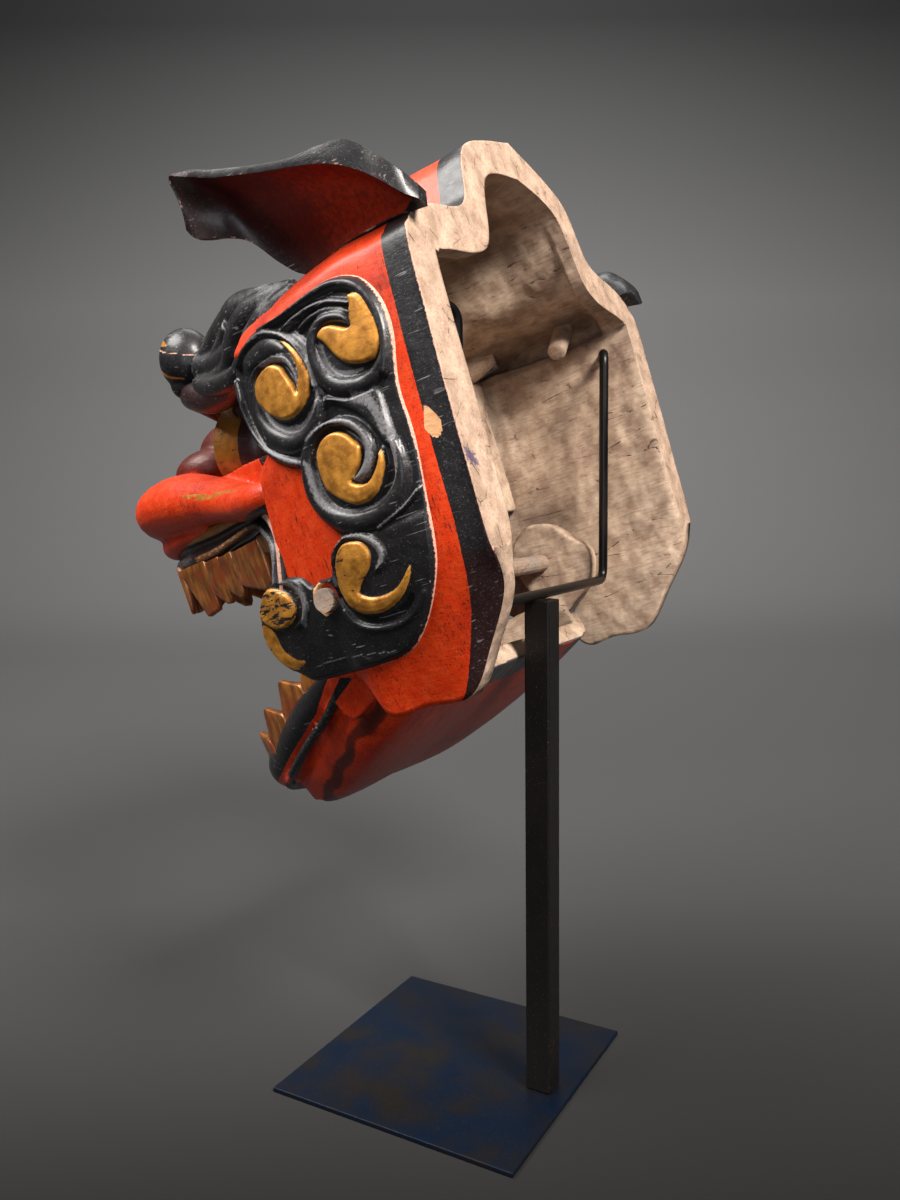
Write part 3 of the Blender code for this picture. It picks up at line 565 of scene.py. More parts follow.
# %% The hollow head
SECTION_KEYS = ("foot", "knee", "side", "corner", "shoulder", "step", "hump")
SHELL_SECTIONS = (  # along, then width and height at each key, the crown and the wall
    (0.000, 0.98, 0.00, 1.00, 0.07, 1.00, 0.58, 0.95, 0.68, 0.81, 0.73, 0.54, 0.78, 0.41, 0.94, 1.03, 1.00),
    (0.016, 0.92, -0.08, 0.99, 0.07, 1.00, 0.58, 0.95, 0.68, 0.81, 0.73, 0.54, 0.78, 0.41, 0.94, 1.03, 1.00),
    (0.072, 0.88, -0.18, 0.99, 0.06, 1.00, 0.57, 0.95, 0.68, 0.80, 0.73, 0.54, 0.78, 0.40, 0.94, 1.03, 0.97),
    (0.135, 0.86, -0.275, 0.99, 0.06, 1.00, 0.57, 0.95, 0.68, 0.80, 0.73, 0.54, 0.78, 0.40, 0.94, 1.02, 0.94),
    (0.220, 0.86, -0.28, 0.98, 0.05, 0.99, 0.56, 0.93, 0.67, 0.77, 0.73, 0.52, 0.77, 0.37, 0.93, 1.00, 0.90),
    (0.295, 0.86, -0.28, 0.96, 0.04, 0.97, 0.54, 0.90, 0.66, 0.73, 0.72, 0.50, 0.77, 0.35, 0.92, 0.98, 0.85),
    (0.335, 0.86, -0.19, 0.94, 0.03, 0.95, 0.53, 0.88, 0.65, 0.71, 0.72, 0.48, 0.76, 0.34, 0.90, 0.97, 0.80),
    (0.405, 0.85, -0.16, 0.91, 0.02, 0.92, 0.51, 0.85, 0.64, 0.68, 0.71, 0.46, 0.76, 0.32, 0.88, 0.94, 0.70),
    (0.424, 0.84, -0.10, 0.89, 0.02, 0.88, 0.50, 0.81, 0.63, 0.65, 0.70, 0.45, 0.75, 0.31, 0.87, 0.93, 0.60),
)
# How far the inner skin stands in from each key point, inward and down, as shares of the wall
INWARD = {"foot": (0.45, 0.0), "knee": (1.08, 0.0), "side": (1.0, 0.1), "corner": (0.85, 0.5),
          "shoulder": (0.35, 0.85), "step": (0.6, 0.85), "hump": (0.7, 0.55)}
POCKET = 9.0  # how far the hollow under the ear is cut past the cheek's inner face
EYE_STEP = 11.0  # how far the cheek's front edge steps back beside the eye
AROUND = 15  # steps from one key point of a section to the next
ALONG = 11  # steps from one section to the next


def key_points(row):
    """A section's outer and inner key points, from the foot of one cheek to the middle of the crown."""
    along, wall = row[0], row[-1] * WALL
    outer = np.array([(row[1 + 2 * i] * HALF_WIDTH, row[2 + 2 * i] * CROWN_HEIGHT) for i in range(7)]
                     + [(0.0, row[15] * CROWN_HEIGHT)])
    inner = outer.copy()
    for i, key in enumerate(SECTION_KEYS):
        inward, down = INWARD[key]
        if along > 0.03 and key in ("corner", "shoulder", "step"):
            down *= UNDERCUT
        inner[i] -= (inward * wall, down * wall)
    inner[7, 1] -= CROWN_WALL
    return outer, inner


def whole_profile(half, y):
    """Both halves of a section as one line of points."""
    line = catmull(half, AROUND)
    right = np.column_stack([-line[:, 0], np.full(len(line), y), line[:, 1]])
    left = right[:-1][::-1] * (-1, 1, 1)
    return np.vstack([right, left])


def grid_faces(rows, columns, start=0, flip=False, closed=False):
    faces = []
    for i in range(rows - 1):
        for j in range(columns if closed else columns - 1):
            k = (j + 1) % columns
            a, b = start + i * columns + j, start + i * columns + k
            c, d = b + columns, a + columns
            faces.append((a, d, c, b) if flip else (a, b, c, d))
    return faces

print("sections:", len(SHELL_SECTIONS))

# %% [markdown]
# ## Paint on the wall
#
# A black band runs round the rear edge, and a pale chip shows bare wood on the left cheek. The height says
# how far back the band begins.

# %% Paint on the wall
REAR_BAND = ((-70, 44), (-60, 54), (-52, 59), (-43, 64), (-33, 69), (-25, 73), (-15, 77), (-5, 79.5),
             (8, 81.5),
             (20, 82.5), (160, 83), (170, 82), (240, 80))  # height, and how far back the black band begins
# The chip of bare wood on the left cheek, seen from the side
CHIP = ((82, 66), (84, 69.5), (86, 68), (88.5, 66), (90, 62), (90, 52.5), (85, 52.5), (81, 53.5), (80.5, 58),
        (82, 62))


def wall_paint(points):
    """Where the rear band is black, and where the coat is rubbed, on the outside of the head."""
    x, y, z = points.T
    edge = np.interp(z, *zip(*REAR_BAND))
    side, _ = outline_distance(points[:, 1:], CHIP)
    rim = smooth(1 - (REAR_REACH - y) / 1.3) * 0.8
    foot = smooth((-40 - z) / 22) * smooth((z + 66) / 2) * 0.25
    smear = smooth((y - 70) / 4) * smooth((z - 92) / 8) * smooth((138 - z) / 8) * 0.75
    dust = 0.2 * smooth((y - edge) / 2) * smooth((170 - z) / 10)
    return {"black": y - edge, "gold": np.full(len(x), -9.0), "worn": np.maximum(rim, foot),
            "bare": np.where(x > 0, side, -9.0), "dust": dust,
            "smear": smear - 0.25 + 0.25 * smooth((-25 - z) / 20),
            "brown": smooth((12 - z) / 20), "flake": 0 * x}

print("wall paint ready")

# %% [markdown]
# ## The wall
#
# The outer and the inner sections are joined into one closed wall, over the rim behind and the front edge
# ahead. The inner skin is pushed about by noise, as the gouge would.

# %% The wall


def head_wall():
    table = catmull(SHELL_SECTIONS, ALONG)
    outer, inner = [], []
    for row in table:
        out_key, in_key = key_points(row)
        y = REAR_REACH - row[0] * HEAD_LENGTH
        outer.append(whole_profile(out_key, y))
        inner.append(whole_profile(in_key, y))
    columns = len(outer[0])
    outer, inner = np.array(outer), np.array(inner)
    # The gouge leaves shallow facets inside, and the outside is nearly smooth
    flat = inner.reshape(-1, 3)
    depth = np.clip((REAR_REACH - flat[:, 1]) / 12, 0, 1)
    push = (value_noise(flat, 16, 3) * 1.3 + value_noise(flat, 7, 4) * 0.7) * depth
    centre = np.column_stack([0 * push, flat[:, 1], 0 * push + 60])
    toward = centre - flat
    toward /= np.linalg.norm(toward, axis=1)[:, None]
    flat = flat + toward * push[:, None]
    pocket = smooth((flat[:, 2] - 140) / 3) * smooth((158 - flat[:, 2]) / 5)
    pocket *= smooth((REAR_REACH - flat[:, 1] - 16) / 6)
    flat[:, 0] += np.sign(flat[:, 0]) * POCKET * pocket * smooth((np.abs(flat[:, 0]) - 108) / 6)
    inner = flat.reshape(inner.shape)
    flat = outer.reshape(-1, 3)
    push = value_noise(flat, 13, 5) * 0.30
    toward = flat - np.column_stack([0 * push, flat[:, 1], 0 * push + 60])
    toward /= np.linalg.norm(toward, axis=1)[:, None]
    outer = (flat + toward * push[:, None]).reshape(outer.shape)
    shares = (0.05, 0.2, 0.5, 0.8, 0.95)
    rim = np.array([outer[0] * (1 - s) + inner[0] * s for s in shares])
    rim[:, :, 1] += 0.35 * value_noise(rim.reshape(-1, 3), 6, 8).reshape(rim.shape[:2]) - 0.1
    front = np.array([outer[-1] * (1 - s) + inner[-1] * s for s in (0.5,)])
    # One grid that runs from the front, over the outside to the rim, over the rim and back along the inside
    sheets = np.concatenate([outer[::-1], rim, inner, front])
    rows = len(sheets)
    points = sheets.reshape(-1, 3)
    height = points[:, 2]
    beside_eye = smooth((height - 70) / 12) * smooth((136 - height) / 8)
    points[:, 1] += EYE_STEP * beside_eye * smooth((-2 - points[:, 1]) / 24)
    faces = grid_faces(rows, columns)
    faces += [(j, (rows - 1) * columns + j, (rows - 1) * columns + j + 1, j + 1) for j in range(columns - 1)]
    n_outer, n_rim = len(outer), len(rim)
    kind = np.concatenate([np.repeat([0] * (n_outer - 1) + [1] * (n_rim + 1) + [2] * (len(inner) - 1) + [2],
                                     columns - 1), np.repeat([2], columns - 1)])
    # The two feet close the arch below
    for edge, flip in ((0, True), (columns - 1, False)):
        for i in range(n_outer - 1):
            top = (n_outer - 1 - i) * columns + edge
            low = (n_outer + n_rim + i) * columns + edge
            face = (top, top - columns, low + columns, low)
            if i == 0:
                ring = [(n_outer + k) * columns + edge for k in range(n_rim)]
                fan = (top, *ring, low)
                faces.append(fan if flip else fan[::-1])
                kind = np.append(kind, 1)
            faces.append(face if flip else face[::-1])
            kind = np.append(kind, 1)
        last = (rows - 1) * columns + edge
        cap = (edge, last, last - columns)
        faces.append(cap if flip else cap[::-1])
        kind = np.append(kind, 2)
    paint = wall_paint(points)
    x, y, z = points.T
    paint["ink"] = smooth(1.2 - np.hypot(x - 149, z - 42) / 5.5) * (y > 90) * (x > 0) * 0.9
    # Painted shade deep in the hollow, under each ear and under the crown, over grime that varies at random
    deep = smooth((60 - y) / 90) * 0.5
    under_ear = smooth((z - 134) / 6) * smooth((160 - z) / 8)
    under_ear *= smooth((np.abs(x) - 88) / 12) * smooth((88 - y) / 14)
    crown = smooth((z - 176) / 24) * smooth((84 - y) / 30)
    paint["grime_and_painted_shade"] = (deep + 0.35 * smooth((value_noise(points, 30, 9) - 0.1) / 0.6) + 0.9 * under_ear
                      + 0.7 * crown)
    item = build_piece("head_wall", points, faces, HEAD, (lacquer, rim_wood, bare_wood), paint, kind)
    outward(item)
    return item


wall_piece = head_wall()
print("head wall:", triangle_count(wall_piece), "triangles")

# %% [markdown]
# ## The cheek relief
#
# A raised black panel covers each cheek. Its scrolls are drawn as paths seen from the side, with a half
# width at each point, and the gilded commas as outlines. The carved height at a point is the highest of the
# ridges, bosses and flats that reach it, over a low floor, and it is bevelled down to the red cheek at the
# panel's edge.

# %% The cheek relief
PANEL = (
    (-27, 121), (-27.5, 112), (-26.4, 101), (-23, 90), (-17, 80), (-9, 72.3), (0, 66.6), (7.4, 63.4),
    (6.6, 59), (5.2, 53), (6.6, 46), (10, 39.5), (14.6, 33.4), (19.4, 28), (20.6, 26), (17, 24.8),
    (12.4, 21.4), (9.6, 16.5), (8, 11), (3, 10.2), (-3, 10.4), (-8, 8.8), (-11.6, 12), (-15.6, 15.5),
    (-22, 17.6), (-30, 18.3), (-37, 18.2), (-43, 16.2), (-47, 13), (-50.6, 8), (-53.2, 3), (-55.6, -4),
    (-56, -12), (-54.4, -18), (-51, -24), (-47, -28.2), (-43, -30.4), (-38.6, -33.5), (-33, -36.6),
    (-26, -37.6), (-10, -37.6), (10, -37.6), (22, -37.1), (33, -35.6), (42, -31), (50, -24), (57, -16),
    (63, -7), (68, 3), (71, 15), (72.6, 28), (74, 40), (75.4, 54), (75.4, 65), (74.6, 75), (74.8, 84),
    (76.2, 92), (78.4, 102), (78.8, 111), (77.2, 121), (73.6, 129), (68, 135.6), (60, 139.6), (51, 141.4),
    (41, 141), (30, 139.7), (18, 138.7), (6, 139.2), (-4, 139.4), (-14, 137), (-22, 131),
)
BOSSES = (  # gilded commas: head and tail are one outline
    ((-8.5, 107), (-7.5, 111), (-5, 114), (0, 116), (5, 116.7), (9, 116), (12.5, 114), (14.5, 112),
     (16, 108.5), (18, 104.5), (19.2, 101.5), (20.2, 98.5), (21, 97), (22, 100), (23.5, 104), (24, 108),
     (23.5, 112), (22, 116), (20, 120), (17.5, 123.5), (15.8, 125.2), (19, 123.7), (23, 120), (26, 116),
     (28.5, 111), (30, 106), (30.3, 102), (29, 98), (26.5, 94), (22, 90.5), (16, 88), (10, 88), (4, 90),
     (-1, 93.5), (-5, 98), (-8, 102.5)),
    ((40.5, 117), (42, 118.8), (45, 120), (49, 119.5), (53, 117.5), (57, 115.2), (60, 114.8), (60.5, 118),
     (61, 121.5), (62.5, 124.5), (62, 127.5), (63.2, 128.7), (66.4, 127.9), (69, 125.5), (70.8, 121),
     (72.5, 115), (73.5, 109), (73, 103), (70.5, 99), (67, 96.5), (62, 96.5), (57, 98), (52, 100.5),
     (48, 105), (45, 110), (43, 113.5), (40.8, 115.5)),
    ((21.5, 62), (22.5, 66), (25, 69.5), (29, 72), (34, 73), (39, 71.8), (43, 69), (46, 65.5), (48.3, 62),
     (47.5, 58), (45.5, 54.5), (42, 51), (39, 48.8), (38.5, 48), (41, 46.2), (45, 45), (49, 45.8), (53, 49),
     (56, 53), (57.8, 56.5), (58.6, 58), (59.2, 54), (58.5, 50), (56, 45.5), (52.5, 41), (48, 38), (43, 36.8),
     (38, 37), (33, 39.5), (28, 43), (24, 47), (22, 51), (21.3, 56)),
    ((11.5, 3), (12, 8), (13.5, 14), (17, 19.5), (22, 22.5), (28, 22.3), (33, 20.5), (36, 16.5), (36, 12.5),
     (33.5, 8.5), (30, 5.5), (26.5, 3), (24, 0.5), (22.5, -2), (26, -4.5), (31, -6), (38, -6), (44, -4.5),
     (49, -1.5), (53, 2), (55.5, 3.5), (54, 0), (51, -4), (46, -8.5), (40, -11.5), (33, -13.5), (26, -13),
     (20, -11.5), (15, -8), (12.5, -3)),
    ((-51, 3), (-49, 9.5), (-46, 13.5), (-41, 15), (-35.5, 14), (-29, 11), (-25, 7), (-23.5, 2), (-26, -3),
     (-31, -6), (-37, -7.3), (-42.5, -6.5), (-46.5, -4), (-49.5, -1)),
    ((-55, -8), (-54, -3.4), (-52, -2), (-49, -3.4), (-46.5, -6), (-45, -10.5), (-44.5, -16), (-42, -20),
     (-37, -24), (-31, -26), (-37, -28.5), (-43, -28.8), (-48, -26.5), (-52, -22), (-54.5, -15)),
)
BOSS_RISE = (4.4, 4.4, 4.4, 3.6, 4.6, 2.2)
BOSS_DOME = (1.4, 1.2, 1.6, 1.2, 3.2, 0.6)
FLAKES = (0.26, 0.24, 0.20, 0.40, 0.50, 0.34)  # how much gilding has flaked off each boss

print("bosses:", len(BOSSES))

# %% [markdown]
# ## Ridges and grooves
#
# Each scroll is a path with a crest height. A curve through a few points and a half width at each gives the
# swelling line that a carver draws.

# %% Ridges and grooves
RIDGES = (  # crest height, then the path: back, up and half width
    (4.6, ((-25.2, 120, 2.0), (-25.4, 111, 2.4), (-24, 101, 2.6), (-20.8, 91, 2.8), (-15, 82, 2.8),
           (-7.6, 75, 2.8), (1, 69.8, 2.8), (8, 66.6, 2.2))),
    (5.2, ((21.2, 97.5, 0.6), (22.4, 103, 1.5), (21.6, 109, 2.1), (18.3, 114.8, 2.3), (12, 118, 1.8),
           (4, 119.2, 1.4), (-4, 118.4, 1.8), (-10, 113.5, 3.6), (-13, 105, 4.8), (-12.3, 95, 5.2),
           (-7.5, 86, 5.6), (0.5, 79.5, 5.6), (10, 76.2, 5.0), (20, 77.5, 4.4), (27.5, 83, 3.6),
           (31, 89, 2.6))),
    (4.8, ((-20, 127, 2.2), (-13, 131.5, 2.4), (-5, 133.6, 2.4), (3, 134, 2.2), (11, 131.3, 2.0),
           (18, 126.9, 1.8), (24.7, 119.8, 1.8), (29, 111.5, 1.4), (31.4, 104, 1.2), (31, 97, 1.2))),
    (3.2, ((-12, 126, 6.0), (0, 127.5, 6.5), (9, 125, 5.0), (16, 120.5, 2.5))), (2.8, ((25, 124.5, 1.5),
    (30, 118, 2.0), (32.6, 110, 2.0), (33, 101, 2.0), (31.5, 93, 2.6), (30, 87.5, 3.2),
           (36, 88, 2.4))),
    (4.8, ((2, 136.6, 1.6), (14, 136.4, 2.2), (27, 136.8, 2.6), (40, 137.8, 2.8), (51, 138, 3.0),
           (60, 135.6, 3.0), (67, 130.8, 3.2), (72, 123.5, 3.2), (74.4, 114, 3.0), (74.8, 105, 2.8),
           (73.2, 96, 2.6), (70.5, 89.5, 2.4))),
    (4.3, ((17, 128.4, 1.2), (27, 130.8, 1.6), (38, 131.8, 1.8), (48, 130.8, 1.8), (56, 127.8, 1.8),
           (62, 124.8, 1.4))),
    (3.3, ((30, 125.5, 1.6), (38, 127.6, 1.9), (47, 127.6, 1.9), (55, 124.8, 1.7), (60.3, 121.3, 1.1))),
    (5.0, ((59.2, 115.8, 0.9), (58.2, 118.5, 2.0), (54.5, 121.3, 2.8), (48, 123.3, 3.0), (41.5, 122.5, 3.4),
           (36.3, 118, 3.6), (34.8, 110.5, 4.2), (36, 102.5, 4.6), (40, 95.5, 4.8), (46.5, 90.6, 4.8),
           (55, 88.4, 4.6), (63, 89, 4.2), (69.5, 92.8, 3.4), (74, 99, 2.6), (75.8, 107, 2.4))),
    (5.2, ((39.2, 48.4, 0.6), (43, 49, 1.8), (48, 51.5, 3.0), (51.8, 56, 3.4), (53, 62, 3.2),
           (50.5, 68.8, 2.8), (45, 74.2, 2.6), (38, 76.8, 2.2), (30, 77.2, 2.0), (22, 74.6, 3.0),
           (15.6, 68.5, 4.4), (12.8, 60, 5.2), (12.6, 51, 5.4), (15.5, 42.5, 5.4), (21.5, 35.5, 5.2),
           (30, 31, 5.2), (40, 29, 5.2), (50, 29.6, 5.0), (58.5, 34, 4.6), (64.5, 41, 4.0), (66.5, 50, 3.4),
           (66, 58, 2.6))),
    (4.2, ((45, 24, 1.1), (52, 26, 1.2), (60, 28.4, 1.2), (66, 31.2, 1.2), (72, 35, 1.1))),
    (4.6, ((35.5, 5.2, 0.6), (40, 7.5, 2.0), (43, 12, 2.6), (41, 17.5, 2.8), (35, 22.3, 2.2), (27, 24.6, 1.6),
           (19, 23.6, 1.5), (13, 18.5, 1.5), (10, 11.5, 1.4), (9.4, 4, 1.2))),
    (3.8, ((9, -8, 1.4), (13.4, -15.6, 2.0), (23, -20.5, 2.2), (36, -21.5, 2.2), (48, -18, 2.0),
    (57, -10, 2.0))), (4.6, ((-33, 16.6, 1.2), (-26, 15.5, 2.2), (-19.5, 12, 3.2), (-16, 6.5, 3.6),
    (-17, 0, 3.0),
           (-21.5, -5.5, 2.0), (-28, -8.2, 1.2))),
)
GROOVES = (  # how deep below the floor, then the path
    (2.2, ((9.6, -1, 1.4), (12, -8.4, 2.2), (17.4, -14, 2.4), (25, -16.8, 2.4), (34, -17.4, 2.2),
           (43, -15, 1.8), (50, -10.4, 1.4))),
)
# A raised plain field near the panel's rear edge
HIGH_FLAT = ((40, 85), (46, 80.6), (53, 74.4), (57, 67), (60.5, 59), (64, 57), (66.4, 62), (66.2, 72),
             (65, 84), (58, 85), (50, 85.2), (44, 87), (36, 90), (33.5, 87.5))

print("ridges:", len(RIDGES))

# %% [markdown]
# ## Dust, painted highlights and wear
#
# Grey dust and rubbing lie along the crests of the scrolls, with grey painted highlights on the slopes that
# face the light, and the red coat under the panel's edge is worn further as it climbs.

# %% Dust, painted highlights and wear
SCUFFS_AND_SHEEN = (  # where grey dust, rubbing and painted highlights lie on the black: back, up and half width
    ((-7.5, 100, 1.0), (-5, 94, 1.6), (-1, 88.5, 2.0), (5, 84.5, 2.4), (12, 82.3, 2.6), (18, 82.6, 2.4),
     (24, 85.5, 3.0), (30, 90, 3.0)),
    ((21.5, 99, 0.8), (22, 105, 1.6), (20.5, 110.5, 2.0), (17, 114.5, 1.6), (9, 117.8, 1.2), (0, 118.7, 1.0)),
    ((-17, 84, 0.8), (-6, 76, 1.5), (0, 71.6, 2.0), (6, 68, 2.2), (10, 66, 1.5)),
    ((-8, 134.3, 0.6), (2, 134.4, 0.6), (10, 131.8, 0.7), (18, 127.8, 1.0), (24, 124, 2.4), (29, 118.5, 2.4),
     (31, 112, 1.8), (31.5, 104, 1.6), (31, 96, 2.2), (29, 90, 3.0)),
    ((22, 130.5, 0.6), (32, 132.4, 0.6), (41, 133, 0.6), (50, 131.5, 0.6), (58, 128, 0.6), (63, 125, 0.5)),
    ((39.5, 113, 1.8), (39.5, 107, 2.0), (42, 101, 2.4), (46, 97.5, 2.2), (52, 95.6, 1.6), (59, 95, 1.0)),
    ((14, 65, 1.6), (15.5, 59, 3.0), (15.8, 52, 3.4), (17.5, 45, 3.0), (22, 39.5, 2.4), (29, 36.4, 1.6),
     (38, 34.6, 1.2), (47, 34.6, 1.2), (54, 36.8, 1.2), (60, 41, 1.4), (64, 47, 2.0), (65.3, 54, 2.4),
     (65.5, 61, 2.4), (65.8, 70, 1.4), (65.5, 80, 1.2)),
    ((18, 74.5, 0.9), (26, 77.3, 1.1), (34, 78.4, 1.2), (42, 75.8, 1.6), (48, 71.5, 1.8), (51.8, 66, 2.0),
     (53, 60, 2.4), (51.5, 55, 3.0), (47.5, 50.6, 3.0), (42, 48.3, 2.0)),
    ((45, 24, 0.7), (54, 26.6, 0.7), (62, 29.4, 0.7), (71, 34.6, 0.7)), ((37, 7, 1.0), (41.5, 10, 2.2),
    (42, 15, 2.6), (38, 20, 2.0), (31, 23.6, 1.2), (22, 25.2, 0.8), (13, 20.5, 0.8)), ((-30, 15.8, 1.0),
    (-22, 12.5, 2.0), (-17, 7, 3.0), (-16.5, 1, 3.0), (-19.5, -4, 2.0), (-22, -8, 2.0)), ((52, 84, 3.0),
    (59, 80, 4.0), (62, 72, 3.0), (63, 64, 2.5)), ((-26, -30, 0.5), (-10, -29.5, 0.4), (10, -30.5, 0.4),
    (30, -33, 0.5)),
)
# How wide the worn edge of the panel is, by how far back it lies
WORN_EDGE = ((-30, 0.0), (0, 0.2), (10, 0.35), (30, 0.4), (50, 0.45), (60, 0.6), (66, 0.8), (74, 1.2),
             (79, 1.3))

print("scuffs:", len(SCUFFS_AND_SHEEN))

# %% [markdown]
# ## Where the cheek lies
#
# The panel follows the wall's skin. A table of that skin answers for any place how far out it lies.

# %% Where the cheek lies
AXLE_HOLE = (0.9, 1.0, 7.6)  # back, up and radius
SLAB_DEPTH = 7.0  # how deep the slab's back is sunk in the wall
LOBE_OUT = ((-60, 133.5), (-41, 136), (-31, 138.5))  # back, and how far out the lobe lies at knee height
GRID = 0.8  # spacing of the height field in millimetres


def cheek_table():
    """How far out the wall's skin lies, on a grid of places back and up."""
    ys, sheets = [], []
    heights = np.arange(-66, 150, 1.0)
    for row in catmull(SHELL_SECTIONS, 4):
        line = catmull(key_points(row)[0], AROUND)
        rising = line[:int(3.2 * AROUND)]
        ys.append(REAR_REACH - row[0] * HEAD_LENGTH)
        sheets.append(np.interp(heights, rising[:, 1], rising[:, 0]))
    return np.array(ys), heights, np.array(sheets)


CHEEK_YS, CHEEK_ZS, CHEEK_SHEET = cheek_table()


def cheek_out(y, z):
    """How far out the cheek's skin lies; the lobe runs on past the wall's front edge."""
    row = np.interp(y, CHEEK_YS[::-1], np.arange(len(CHEEK_YS))[::-1])
    column = np.interp(z, CHEEK_ZS, np.arange(len(CHEEK_ZS)))
    i = np.clip(row.astype(int), 0, len(CHEEK_YS) - 2)
    j = np.clip(column.astype(int), 0, len(CHEEK_ZS) - 2)
    s, t = row - i, column - j
    wall = (CHEEK_SHEET[i, j] * (1 - s) * (1 - t) + CHEEK_SHEET[i + 1, j] * s * (1 - t)
            + CHEEK_SHEET[i, j + 1] * (1 - s) * t + CHEEK_SHEET[i + 1, j + 1] * s * t)
    lobe = np.interp(y, *zip(*LOBE_OUT)) - smooth((10 - z) / 90) * 14
    share = smooth((y + 34) / 26)
    return (wall + 0.25) * share + lobe * (1 - share)

print("cheek sections:", len(CHEEK_YS))

# %% [markdown]
# ## Carved height
#
# Ridges, flats and bosses are merged with a soft maximum, which rounds the valley where two of them meet.

# %% Carved height


def smooth_max(a, b, soft=0.5):
    h = np.clip(0.5 + 0.5 * (a - b) / soft, 0, 1)
    return b * (1 - h) + a * h + soft * h * (1 - h)


def relief(points):
    """Carved height over the cheek, and the paint, for points given back and up."""
    y, z = points.T
    inside, _ = outline_distance(points, catmull(PANEL, 3, True))
    height = 1.0 + 1.9 * smooth((27 - z) / 6)
    for depth, path in GROOVES:
        gap, width = path_distance(points, catmull(path, 6))
        height -= depth * np.sqrt(np.clip(1 - (gap / width) ** 2, 0, 1))
    flat, _ = outline_distance(points, catmull(HIGH_FLAT, 3, True))
    height = smooth_max(height, 1.0 + 3.0 * smooth((flat + 0.4) / 2.2))
    for crest, path in RIDGES:
        gap, width = path_distance(points, catmull(path, 6))
        round_top = np.sqrt(np.clip(1 - (gap / np.maximum(width, 0.3)) ** 2, 0, 1)) ** 0.9
        height = smooth_max(height, np.where(gap < width, (crest - 0.6) * round_top + 0.6, 0.0))
    gold = np.full(len(y), -9.0)
    flake = np.zeros(len(y))
    for outline, rise, dome, flaking in zip(BOSSES, BOSS_RISE, BOSS_DOME, FLAKES):
        deep, _ = outline_distance(points, catmull(outline, 3, True))
        base = 1.0 + rise * smooth((deep + 0.9) / 1.9) + dome * smooth(deep / 11)
        height = np.where(deep > -0.9, smooth_max(height, base), height)
        flake = np.where(deep > gold, flaking, flake)
        gold = np.maximum(gold, deep)
    height += 0.12 * value_noise(points, 5.5, 21) + 0.05 * value_noise(points, 2.2, 22)
    edge = 0.15 + 5.6 * smooth((inside + 0.1) / 3.6)
    height = -smooth_max(-height, -edge, 0.6)
    # Grey along the scuff paths: dust and rubbing, and painted highlights on crests that face the light
    dust = np.zeros(len(y))
    for path in SCUFFS_AND_SHEEN:
        gap, width = path_distance(points, catmull(path, 5))
        dust = np.maximum(dust, smooth(1.35 - gap / width))
    band = np.interp(y, *zip(*WORN_EDGE)) * (1 - 0.35 * smooth((60 - z) / 20) * smooth((z - 20) / 20))
    worn = smooth((band - inside) / 1.1 + 0.3) * (y > -8)
    pale = (1 - smooth(inside / 0.9)) * 0.35
    ring = np.hypot(y - AXLE_HOLE[0], z - AXLE_HOLE[1]) - AXLE_HOLE[2]
    bare = 2.6 * smooth((-y + 1) / 6) - ring - 0.2
    return height, inside, {"black": np.full(len(y), 4.0), "gold": gold, "worn": np.maximum(worn, pale),
                            "bare": np.where(ring < 6, bare, -9.0), "dust": dust, "smear": 0 * y - 0.5,
                            "brown": 0 * y, "flake": flake}

print("relief ready")

# %% [markdown]
# ## The panel's slab
#
# A fine grid is cut along the panel's outline and round the axle's hole, lifted by the carved height and
# given a back, so that the panel is closed.

# %% The panel's slab


def cheek_slab():
    """The panel as a closed slab: a fine height field, its cut edges and a plain back."""
    ys = np.arange(-58, 81, GRID)
    zs = np.arange(-39, 143, GRID)
    grid = np.array(np.meshgrid(ys, zs, indexing="ij")).reshape(2, -1).T
    outline = catmull(PANEL, 6, True)
    signed, nearest = outline_distance(grid, outline)
    ring = np.hypot(grid[:, 0] - AXLE_HOLE[0], grid[:, 1] - AXLE_HOLE[1]) - AXLE_HOLE[2]
    rows, columns = len(ys), len(zs)
    index = np.arange(rows * columns).reshape(rows, columns)
    cells = np.stack([index[:-1, :-1], index[1:, :-1], index[1:, 1:], index[:-1, 1:]], -1).reshape(-1, 4)
    field = np.minimum(signed, ring)
    cells = cells[field[cells].mean(1) > 0]
    edges = {}
    for cell in cells:
        for a, b in zip(cell, np.roll(cell, -1)):
            edges.setdefault((min(a, b), max(a, b)), []).append((a, b))
    border = [uses[0] for uses in edges.values() if len(uses) == 1]
    for vertex in {v for pair in border for v in pair}:
        if abs(ring[vertex]) < abs(signed[vertex]):
            away = grid[vertex] - AXLE_HOLE[:2]
            grid[vertex] = np.array(AXLE_HOLE[:2]) + away / np.linalg.norm(away) * AXLE_HOLE[2]
        else:
            grid[vertex] = nearest[vertex]
    used = np.unique(cells)
    number = -np.ones(rows * columns, int)
    number[used] = np.arange(len(used))
    flat = grid[used]
    height, _, paint = relief(flat)
    out = cheek_out(flat[:, 0], flat[:, 1])
    count = len(used)
    points = np.column_stack([out + height, flat])
    back = np.column_stack([out - SLAB_DEPTH, flat])
    faces = [tuple(number[cell]) for cell in cells]
    points = np.vstack([points, back])
    faces += [tuple(count + number[v] for v in reversed(cell)) for cell in cells]
    faces += [(number[b], number[a], count + number[a], count + number[b]) for a, b in border]
    paint = {key: np.concatenate([value, value]) for key, value in paint.items()}
    item = build_piece("cheek_relief_left", points, faces, HEAD, (lacquer,), paint)
    outward(item)
    _, facing = face_frames(item, HEAD)
    leave_bare(item, facing[:, 0] < -0.6)
    return item


left_cheek = cheek_slab()
right_cheek = mirrored(left_cheek, "cheek_relief_right")
print("cheek relief:", triangle_count(left_cheek), "triangles a side")

# %% [markdown]
# ## Forms that grow together
#
# The face, the jaw and the ears are gathered from closed forms that overlap: lofts through sections, rolls
# along a path and swellings. A fine voxel remesh makes one skin of them and rounds the creases, as a knife
# and sandpaper do.


